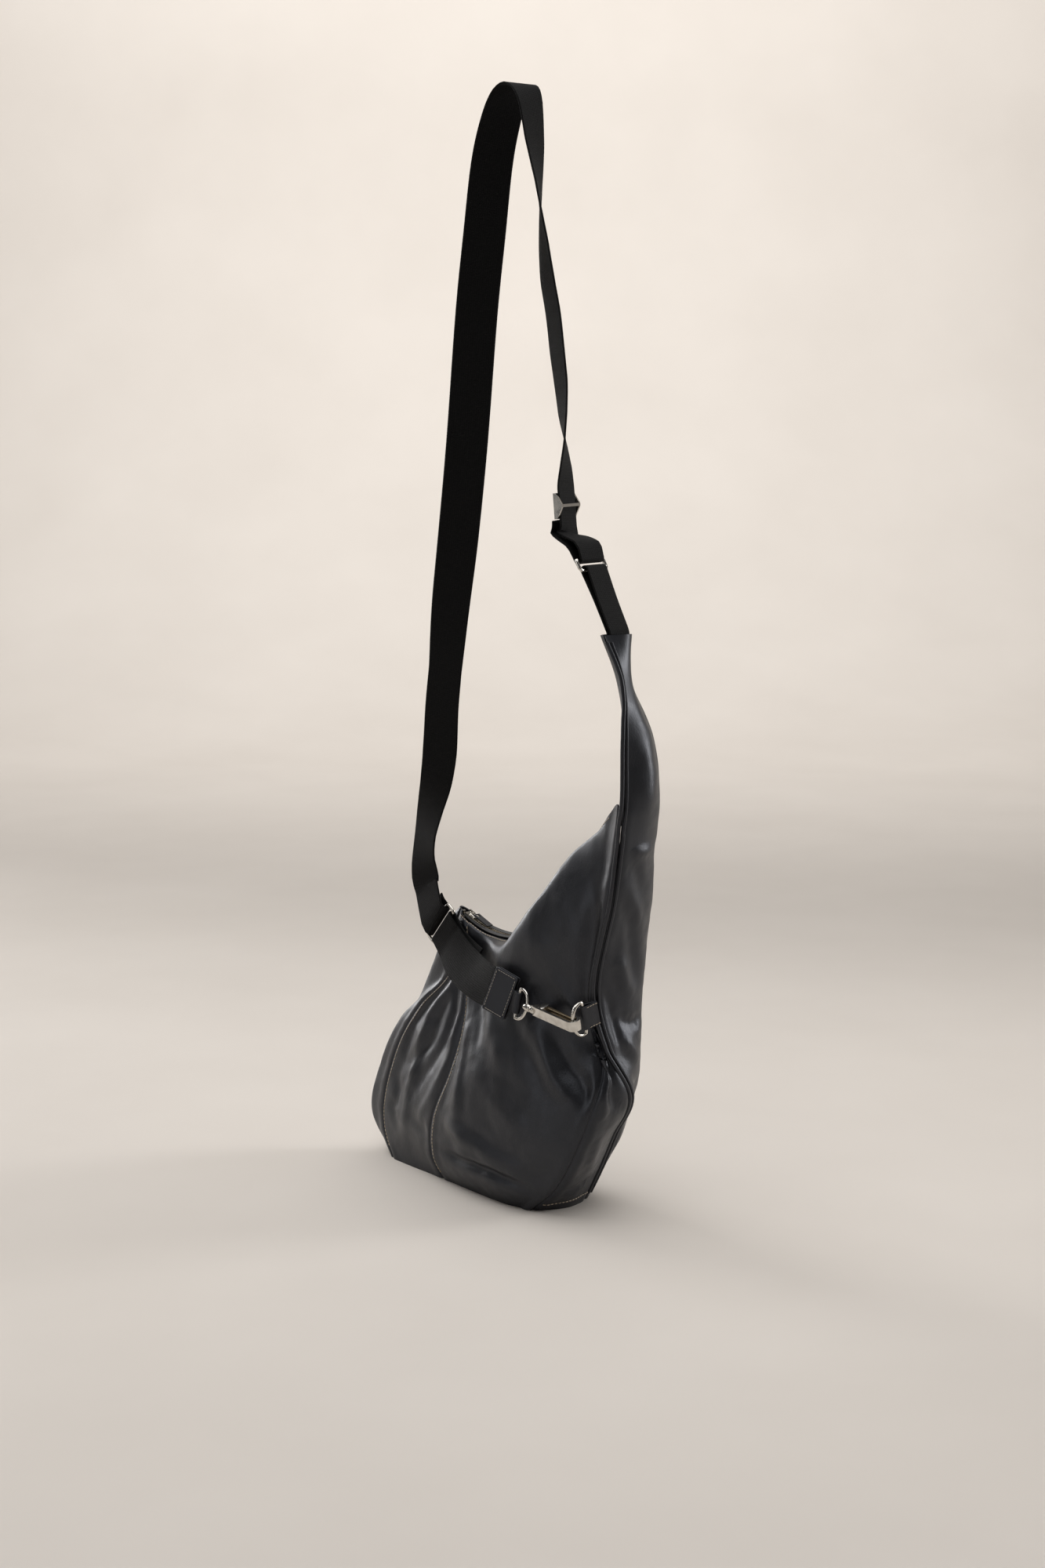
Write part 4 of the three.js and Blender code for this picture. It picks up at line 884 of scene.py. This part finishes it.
def zip_teeth(side):
    """Separate metal teeth along one tape."""
    pitch = 2.3
    parts = []
    count = int(ZIP_LENGTH * 0.95 / pitch)
    for index in range(count):
        share = 0.025 + (index + (0.5 if side > 0 else 0.0)) * pitch / ZIP_LENGTH
        point, ahead, up = zip_frame(share)
        across = np.array([0, side, 0.0])
        sections = []
        for reach, half, tall in ((TEETH_REACH, 0.75, 1.0), (TEETH_REACH - 0.7, 0.8, 1.1), (1.6, 0.62, 0.95),
                                  (1.1, 0.72, 0.85), (TEETH_GAP, 0.5, 0.6)):
            ring = []
            for angle in np.radians(np.arange(22.5, 360, 45)):
                ring.append(point + across * reach + ahead * half * 1.08 * math.cos(angle)
                            + up * tall * 1.08 * math.sin(angle))
            sections.append(np.array(ring if side < 0 else ring[::-1]))
        parts.append(loft(sections))
    return join(parts)


def zip_tape(side):
    shares = np.linspace(0.035, 0.955, 160)
    columns = []
    for share in shares:
        point, _, up = zip_frame(share)
        margin = 2.2 + 2 * float(smoothstep(share, 0.5, 0.75))
        far = max(mouth_half_width(share) - margin, TEETH_REACH + 0.7)
        reach = np.linspace(TEETH_REACH - 0.5, far, 6)
        columns.append([point + np.array([0, side * r, 0]) + up * 0.5 for r in reach])
    grid = np.array(columns)
    if side > 0:
        grid = grid[::-1]
    return grid_solid(grid, 0.8)


def zip_pieces():
    for side, label in ((FRONT_SIDE, "front"), (BACK_SIDE, "back")):
        piece(f"teeth_{label}", *zip_teeth(side), TEETH_METAL, stands_for=[f"zip_teeth_{label}"],
              slot="antique_brass")
        piece(f"tape_{label}", *zip_tape(side), TAPE, stands_for=[f"zip_tape_{label}"], slot="zip_tape")
    for node in ("zip_top_stop", "zip_end_stop", "zip_slider", "zip_pull_ring"):
        carry_over(node, NICKEL)
    carry_over("zip_pull_tab", TRIM)


zip_pieces()

# ---- strap ----
LEFT_RING = {"centre": np.array([-57.0, -5, 238]), "long": unit((-0.636, 0, -0.772)),
             "short": unit((0.772, 0, -0.636))}
UPPER_RING = {"centre": np.array([131.0, 0, 582]), "long": unit((-0.2, 0.98, 0)),
              "short": unit((-0.46, -0.094, 0.883))}
BAR_OFFSET = (RING_SLOT + WIRE) / 2

# Strap centre line in the plane y = 0: x, z and the turn of its width about the vertical.
STRAP_RUN = [
    (-83, 272, -14), (-86, 296, -20), (-83, 322, -14), (-76, 348, -4), (-68, 374, 8), (-63, 402, 14),
    (-60, 442, 11), (-55, 480, 10), (-48, 535, 23), (-37, 602, 35), (-25, 688, 41), (-12.5, 800, 45),
    (-2, 870, 50), (8, 932, 58), (20, 970, 66), (32, 991, 76), (45, 996, 88), (55, 982, 100),
    (61, 946, 110), (65.5, 912, 126), (68.5, 884, 137), (72, 858, 146), (76.5, 829, 152), (84, 797, 153),
    (89, 765, 153), (93.5, 738, 151), (96, 710, 144), (98.5, 688, 133), (99.5, 666, 120),
]
GLIDE_TOP = np.array([99.5, 0, 650])
GLIDE_AXIS = unit((0.1, 0, -1))
GLIDE_ACROSS = np.array([math.cos(math.radians(113)), math.sin(math.radians(113)), 0])
GLIDE_NORMAL = unit(np.cross(GLIDE_AXIS, GLIDE_ACROSS))


def bar_at(ring, side):
    return ring["centre"] + ring["short"] * side * BAR_OFFSET


def round_rectangle(centre, long, short, length, width, corner, corner_steps=8):
    outline = []
    for a, b, start in ((1, 1, 0), (-1, 1, 90), (-1, -1, 180), (1, -1, 270)):
        for angle in np.radians(np.linspace(start, start + 90, corner_steps + 1)):
            outline.append(centre + long * (a * (length / 2 - corner) + corner * math.cos(angle))
                           + short * (b * (width / 2 - corner) + corner * math.sin(angle)))
    return outline


def strap_route():
    """Points of the strap's centre line and the direction of its width at each."""
    points, across = [], []

    def put(point, direction):
        points.append(np.asarray(point, float))
        across.append(np.asarray(direction, float))

    bar = bar_at(LEFT_RING, -1)
    away = -LEFT_RING["short"]
    front = unit(np.cross(LEFT_RING["long"], LEFT_RING["short"]))
    put(bar + 16 * away - 5.4 * front, LEFT_RING["long"])
    put(bar + 9 * away - 3.4 * front, LEFT_RING["long"])
    for point in turn_round(bar, LEFT_RING["short"], front, WRAP):
        put(point, LEFT_RING["long"])
    put(bar + 8 * away + 2.6 * front, LEFT_RING["long"])
    run = np.array([(x, 0, z) for x, z, _ in STRAP_RUN], float)
    for place in np.linspace(0, len(run) - 1, 110):
        index = min(int(place), len(run) - 2)
        before, after = STRAP_RUN[index][2], STRAP_RUN[index + 1][2]
        turn = math.radians(before + (after - before) * (place - index))
        level = np.array([-math.cos(turn), -math.sin(turn), 0])
        share = float(smoothstep(place, 0, 2.5))
        put(spline(run, [place])[0], LEFT_RING["long"] * (1 - share) + level * share)
    for distance in (0, 14, 28, 36, 42):
        put(GLIDE_TOP + distance * GLIDE_AXIS, -GLIDE_ACROSS)
    top_bar = bar_at(UPPER_RING, 1)
    ring_normal = unit(np.cross(UPPER_RING["long"], UPPER_RING["short"]))
    side = ring_normal * (1 if ring_normal @ GLIDE_NORMAL > 0 else -1)
    down = -UPPER_RING["short"]
    put(top_bar - 13 * down + 4.4 * side, -UPPER_RING["long"])
    for point in turn_round(top_bar, down, -side, WRAP):
        put(point, -UPPER_RING["long"])
    put(top_bar - 14 * down - 4.6 * side, -UPPER_RING["long"])
    put(GLIDE_TOP + 42 * GLIDE_AXIS - 7 * GLIDE_NORMAL, -GLIDE_ACROSS)
    put(GLIDE_TOP + 30 * GLIDE_AXIS - 7.2 * GLIDE_NORMAL, -GLIDE_ACROSS)
    return resample(points, across, 3.5)


def webbing(name, path, across, width, replaced):
    """A length of webbing along a route, at the width given."""
    points, faces, uvs = band_solid(path, across, width, WEBBING)
    band = piece(name, points, faces, BAND, stands_for=[replaced], slot="webbing", uvs=uvs)


def strap_pieces():
    path, across = strap_route()
    webbing("strap_band", path, across, WEBBING_WIDTH, "strap_webbing")

    for name, ring in (("left_ring", LEFT_RING), ("upper_ring", UPPER_RING)):
        normal = unit(np.cross(ring["long"], ring["short"]))
        outline = round_rectangle(ring["centre"], ring["long"], ring["short"], RING_INNER + WIRE,
                                  RING_SLOT + WIRE, 3)
        piece(f"{name}_wire", *wire_loop(outline, normal, WIRE), NICKEL, name, [name], "nickel")
    carry_over("tri_glide", NICKEL)


def horn_webbing():
    bar = bar_at(UPPER_RING, -1)
    up = UPPER_RING["short"]
    side = unit(np.cross(UPPER_RING["long"], UPPER_RING["short"]))
    mouth = np.array([162, 0.6, 525])
    in_horn = np.array([163, 0.6, 521.4])
    halfway = (bar + mouth) / 2
    points = [in_horn + 1.3 * side, mouth + 1.4 * side, halfway + 1.8 * side]
    points += turn_round(bar, up, -side, WRAP)
    points += [halfway - 1.8 * side, mouth - 1.4 * side, in_horn - 1.3 * side]
    path, across = resample(points, [UPPER_RING["long"]] * len(points), 3)
    webbing("horn_loop_band", path, across, WEBBING_WIDTH - 6,
            "horn_webbing_loop")


strap_pieces()
horn_webbing()

# ---- front band and snap hook ----
HOOK_ALONG = unit((0.99, -0.1, -0.11))
HOOK_TALL = unit(np.array([0, -0.3, 0.954]) - HOOK_ALONG * (np.array([0, -0.3, 0.954]) @ HOOK_ALONG))
HOOK_DEEP = unit(np.cross(HOOK_TALL, HOOK_ALONG))
HOOK_UP = unit(np.cross(HOOK_ALONG, HOOK_DEEP))
EYE_BAR = np.array([86.0, -46, 191])
EYE_LENGTH = 27.0
EYE_DEPTH = 13.0
HOOK_START = EYE_BAR + HOOK_ALONG * (EYE_DEPTH + 7.4)
EYE_TALL = unit((0.125, 0.164, 0.979))
BAND_RUN = np.array([(-40, -11, 224), (-20, -20, 214), (4, -29.5, 207), (30, -40, 203),
                     (53.2, -47.6, 200.8)])
BAND_ACROSS = unit((0.53, 0.32, 0.78))
TAB_ALONG = unit((0.95, 0.09, -0.3))
TAB_ACROSS = unit((0.28, 0.19, 0.94))
TAB_LENGTH = 26.0
TAB_WIDTH = WEBBING_WIDTH + 3
HOOK_LOOP_WIDTH = 19


def front_band():
    bar = bar_at(LEFT_RING, 1)
    front = unit(np.cross(LEFT_RING["long"], LEFT_RING["short"]))
    front = front if front[1] < 0 else -front
    across_ring = -LEFT_RING["long"]
    points, across = [], []

    def put(point, direction):
        points.append(np.asarray(point, float))
        across.append(np.asarray(direction, float))

    def leaning(place):
        share = float(smoothstep(place, -0.6, 1.6))
        return across_ring * (1 - share) + BAND_ACROSS * share

    for place in np.linspace(2, 0.3, 13):
        tail = spline(BAND_RUN, [place])[0] + np.array([0.6, 3.3, 0]) + BAND_ACROSS * 1.5 * place
        put(tail, leaning(place))
    for point in turn_round(bar, -LEFT_RING["short"], front, WRAP):
        put(point, across_ring)
    for place in np.linspace(0, len(BAND_RUN) - 1, 20):
        straight = float(smoothstep(place, 2, len(BAND_RUN) - 1))
        put(spline(BAND_RUN, [place])[0], leaning(place) * (1 - straight) + TAB_ACROSS * straight)
    for share in (0.34, 0.67, 1):
        put(BAND_RUN[-1] + TAB_ALONG * share * (TAB_LENGTH - 2), TAB_ACROSS)
    path, widths = resample(points, across, 3)
    webbing("front_band_webbing", path, widths, WEBBING_WIDTH, "front_band")


def rounded_plate(length, width, thickness, corner, lift=0.0):
    """Plate with round corners in its own axes: rings from its bottom to its top, softly edged."""
    sections = []
    for inset, height in ((0.35, -0.5), (0.0, -0.22), (0.0, 0.22), (0.35, 0.5)):
        ring = []
        for a, b, start in ((1, 1, 0), (-1, 1, 90), (-1, -1, 180), (1, -1, 270)):
            for angle in np.radians(np.linspace(start, start + 90, 7)):
                ring.append((a * (length / 2 - corner) + (corner - inset) * math.cos(angle),
                             b * (width / 2 - corner) + (corner - inset) * math.sin(angle),
                             lift + height * thickness))
        sections.append(np.array(ring))
    return loft(sections)


def placed(part, origin, x, y, z):
    points, faces = part
    points = np.asarray(points, float)
    return origin + points[:, :1] * x + points[:, 1:2] * y + points[:, 2:] * z, faces


def leather_loop(name, points, wide, width, columns, node):
    """Strip of facing leather folded round a bar."""
    path, across = resample(points, [wide] * len(points), 1.5)
    points, faces, _ = band_solid(path, across, width, FACING, columns=columns)
    piece(name, points, faces, TRIM, stands_for=[node], slot="trim_leather")


def end_tab():
    start = BAND_RUN[-1]
    along = TAB_ALONG
    crossways = unit(TAB_ACROSS - along * (TAB_ACROSS @ along))
    facing = unit(np.cross(along, crossways))
    lift = WEBBING / 2 + FACING / 2 + 0.45
    middle = start + along * TAB_LENGTH / 2
    for name, side in (("end_tab_front", 1), ("end_tab_back", -1)):
        part = rounded_plate(TAB_LENGTH, TAB_WIDTH, FACING, 1.4, side * lift)
        piece(f"{name}_leather", *placed(part, middle, along, crossways, facing), TRIM, stands_for=[name],
              slot="trim_leather")
    box = [(-11.2, -18.6), (11.2, -18.6), (11.2, 18.6), (-11.2, 18.6), (-11.2, -18.6)]
    runs = []
    for (x0, y0), (x1, y1) in zip(box[:-1], box[1:]):
        ends = [middle + along * x0 + crossways * y0, middle + along * x1 + crossways * y1]
        outside = facing * (lift + FACING / 2 + 0.15)
        route = [ends[0] + (ends[1] - ends[0]) * share + outside for share in np.linspace(0, 1, 12)]
        runs.append(stitch_run(route, [facing] * 12, 2.2, 2.9, 0.3, 0.05))
    piece("tab_stitches", *join(runs), GREY_THREAD, slot="trim_leather")

    loop_start = start + along * (TAB_LENGTH - 1)
    deep = unit(np.cross(EYE_TALL, HOOK_ALONG))
    middle_way = EYE_BAR * 0.6 + loop_start * 0.4
    points = [loop_start - 0.65 * deep, middle_way - 1.6 * deep]
    points += turn_round(EYE_BAR, HOOK_ALONG, deep, WIRE / 2 + 0.4 + FACING / 2)
    points += [middle_way + 1.6 * deep, loop_start + 0.65 * deep]
    leather_loop("hook_loop_leather", points, EYE_TALL, HOOK_LOOP_WIDTH, 6, "hook_loop")


def d_outline(bar, long, out, length, depth, corner=2.4, count=40):
    outline = []
    for angle in np.radians(np.linspace(-90, 90, count)):
        bow = max(math.cos(angle), 0) ** 0.7
        reach = depth * bow * 0.999 + corner * 0.4
        outline.append(bar + long * (length / 2 * math.sin(angle)) + out * reach)
    for share in np.linspace(1, -1, 16):
        outline.append(bar + long * share * (length / 2 - corner))
    return outline


def revolved(profile, sides=28):
    """Round solid about the x axis from (x, radius) pairs."""
    sections = []
    for x, radius in profile:
        angles = np.linspace(0, 2 * math.pi, sides, endpoint=False)
        sections.append(np.stack([np.full(sides, x), radius * np.cos(angles), radius * np.sin(angles)], 1))
    return loft(sections)


def prism(outline, height, shift=0.0):
    """Flat outline (u, v) made a plate of a height along n."""
    lower = np.array([(u, v, shift - height / 2) for u, v in outline])
    upper = np.array([(u, v, shift + height / 2) for u, v in outline])
    return loft([lower, upper])


def arc(centre, radius, start, end, count=8):
    return [(centre[0] + radius * math.cos(a), centre[1] + radius * math.sin(a))
            for a in np.radians(np.linspace(start, end, count))]


def hook_placed(part):
    return placed(part, HOOK_START, HOOK_ALONG, HOOK_DEEP, HOOK_UP)


def snap_hook():
    eye_normal = unit(np.cross(EYE_TALL, HOOK_ALONG))
    eye = wire_loop(d_outline(EYE_BAR, EYE_TALL, HOOK_ALONG, EYE_LENGTH, EYE_DEPTH - 1), eye_normal, WIRE)
    profile = [(-9.4, 2.6), (-9.2, 3.3), (-8.6, 3.6), (-2.4, 3.6), (-1.8, 3.3), (-1.6, 2.8)]
    boss = hook_placed(revolved(profile))
    piece("hook_eye_wire", *join([eye, boss]), NICKEL, "bag", ["hook_eye"], "nickel")
    carry_over("swivel_post", NICKEL)
    carry_over("gate_pin", NICKEL)
    carry_over("gate_spring", NICKEL)

    outer = [(1.6, -1.6), (51.5, -1.6)] + arc((51.4, 5.0), 6.6, -90, 60, 12) + [(53.6, 10.4), (47.6, 10.4)]
    inner = [(47.4, 8.5), (53.0, 8.4)] + arc((51.0, 4.6), 4.1, 60, -75, 10)
    inner += [(12, 0.8), (9, 2.6), (9, 4.2), (6, 4.2), (1.6, 3.0)]
    body = piece("hook_plate", *hook_placed(prism(outer + inner, 9.4)), NICKEL, "hook", ["hook_body"], "nickel")
    bevelled(body, 0.55)
    neck = revolved([(-1.2, 3.0), (-0.9, 3.6), (-0.3, 3.9), (2.6, 3.9), (3.4, 3.5), (3.8, 2.8)])
    neck = (neck[0] + np.array([0, 0.4, 0]), neck[1])
    piece("hook_neck", *hook_placed(neck), NICKEL, "hook", slot="nickel")
    lug_outline = [(7, 0.4), (14, 0.4), (14, 8.4)] + arc((11, 7.6), 3.0, 15, 165, 10) + [(7, 8.4)]
    for side, label in ((-1, "lower"), (1, "upper")):
        lug = piece(f"hook_lug_{label}", *hook_placed(prism(lug_outline, 1.2, side * 4.1)), NICKEL, "hook",
                    slot="nickel")
        bevelled(lug, 0.3, 2)
    gate_outline = [(9.4, 6.2), (12, 5.9), (49, 6.3), (49, 8.0), (13, 9.4)] + arc((11, 7.6), 1.9, 70, 200, 8)
    gate = piece("hook_gate_bar", *hook_placed(prism(gate_outline, 6.4)), BRASS, "gate", ["hook_gate"],
                 "antique_brass")
    bevelled(gate, 0.4)


D_LENGTH = 31.0
D_DEPTH = 13.0
D_LOOP_REACH = 11.4
D_LOOP_WIDTH = 23.0


def d_ring():
    clasp = HOOK_START + HOOK_ALONG * 52.4 + HOOK_DEEP * 3.7
    flat = np.array([0, -1.0, 0])
    out = unit(flat - HOOK_UP * (flat @ HOOK_UP))
    bar = clasp - out * (D_DEPTH + 0.96)
    normal = unit(np.cross(HOOK_UP, out))
    piece("d_ring_wire", *wire_loop(d_outline(bar, HOOK_UP, out, D_LENGTH, D_DEPTH), normal, WIRE), NICKEL,
          "d_ring", ["d_ring"], "nickel")
    seam = np.array([0.33, 0.94, 0])
    to_seam = unit(seam - HOOK_UP * (seam @ HOOK_UP))
    side = unit(np.cross(HOOK_UP, to_seam))
    root = bar + to_seam * D_LOOP_REACH
    halfway = (root + bar) / 2
    points = [root + 2.4 * to_seam + side, root + side, halfway + 1.9 * side]
    points += turn_round(bar, -to_seam, -side, WIRE / 2 + 0.4 + FACING / 2)
    points += [halfway - 1.9 * side, root - side, root + 2.4 * to_seam - side]
    leather_loop("d_ring_loop_leather", points, HOOK_UP, D_LOOP_WIDTH, 8, "d_ring_loop")
    runs = []
    for share in (-1, 1):
        for face in (-1, 1):
            route = [halfway + face * 1.9 * side, root + face * side, root + 2.4 * to_seam + face * side]
            route = [bar + face * 2.6 * side + 1.5 * to_seam] + route
            edge = HOOK_UP * share * (D_LOOP_WIDTH / 2 - 1.6)
            lifted = [point + edge + side * face * (FACING / 2 + 0.12) for point in route]
            runs.append(stitch_run(lifted, [side * face] * len(lifted), 2.2, 2.9, 0.3, 0.05))
    piece("d_loop_stitches", *join(runs), THREAD, slot="trim_leather")


front_band()
end_tab()
snap_hook()
d_ring()

# ---- inside ----
carry_over("lining", LINING)
carry_over("inner_pocket", LINING)
carry_over("base_board", BOARD)


# ---- floor, backdrop and light ----
def studio():
    """Pale paper sweep, soft boxes on both sides and a broad light above."""
    profile = [(-4.0, 0.0), (3.0, 0.0)]
    for a in np.radians(np.arange(10, 91, 10)):
        profile.append((3.0 + 1.5 * math.sin(a), 1.5 - 1.5 * math.cos(a)))
    profile += [(4.5, 5.0)]
    turn = math.radians(45)
    back = np.array([-math.sin(turn), math.cos(turn)])
    side = np.array([math.cos(turn), math.sin(turn)])
    points, faces = [], []
    for distance, height in profile:
        for reach in (-6.0, 6.0):
            x, y = back * distance + side * reach
            points.append((x, y, height))
    for index in range(len(profile) - 1):
        base = index * 2
        faces.append((base, base + 1, base + 3, base + 2))
    mesh = bpy.data.meshes.new("paper_sweep")
    mesh.from_pydata(points, [], faces)
    mesh.polygons.foreach_set("use_smooth", np.ones(len(mesh.polygons), dtype=bool))
    mesh.materials.append(backdrop_material())
    sweep = bpy.data.objects.new("paper_sweep", mesh)
    bpy.context.collection.objects.link(sweep)

    def soft_box(name, place, power, width, height, aim=(0.0, 0.0, 0.35), spread=180):
        data = bpy.data.lights.new(name, "AREA")
        data.shape = "RECTANGLE"
        data.size = width
        data.size_y = height
        data.energy = power
        data.spread = math.radians(spread)
        data.color = (1.0, 0.99, 0.985)
        light = bpy.data.objects.new(name, data)
        light.location = place
        direction = Vector(aim) - Vector(place)
        light.rotation_euler = direction.to_track_quat("-Z", "Y").to_euler()
        bpy.context.collection.objects.link(light)

    soft_box("top_box", (0.0, 0.0, 3.2), 96, 4.0, 4.0, (0, 0, 0))
    soft_box("back_box", (-1.6, 1.6, 3.4), 73, 4.0, 1.6, (-3.6, 3.6, 1.0), 130)
    soft_box("front_box", (-0.5, -2.6, 0.9), 7, 0.9, 1.4, (0.1, 0, 0.1))
    soft_box("left_box", (-2.3, 0.1, 1.0), 6, 1.0, 1.5, (0, 0, 0.5), 70)
    soft_box("right_box", (1.5, 2.2, 1.0), 6, 0.9, 1.5, (0, 0, 0.5), 70)

    world = bpy.data.worlds.new("studio_air")
    world.use_nodes = True
    background = world.node_tree.nodes["Background"]
    background.inputs["Color"].default_value = (1.0, 0.965, 0.93, 1)
    background.inputs["Strength"].default_value = 0.10
    bpy.context.scene.world = world
    bpy.context.scene.view_settings.view_transform = "Standard"


studio()
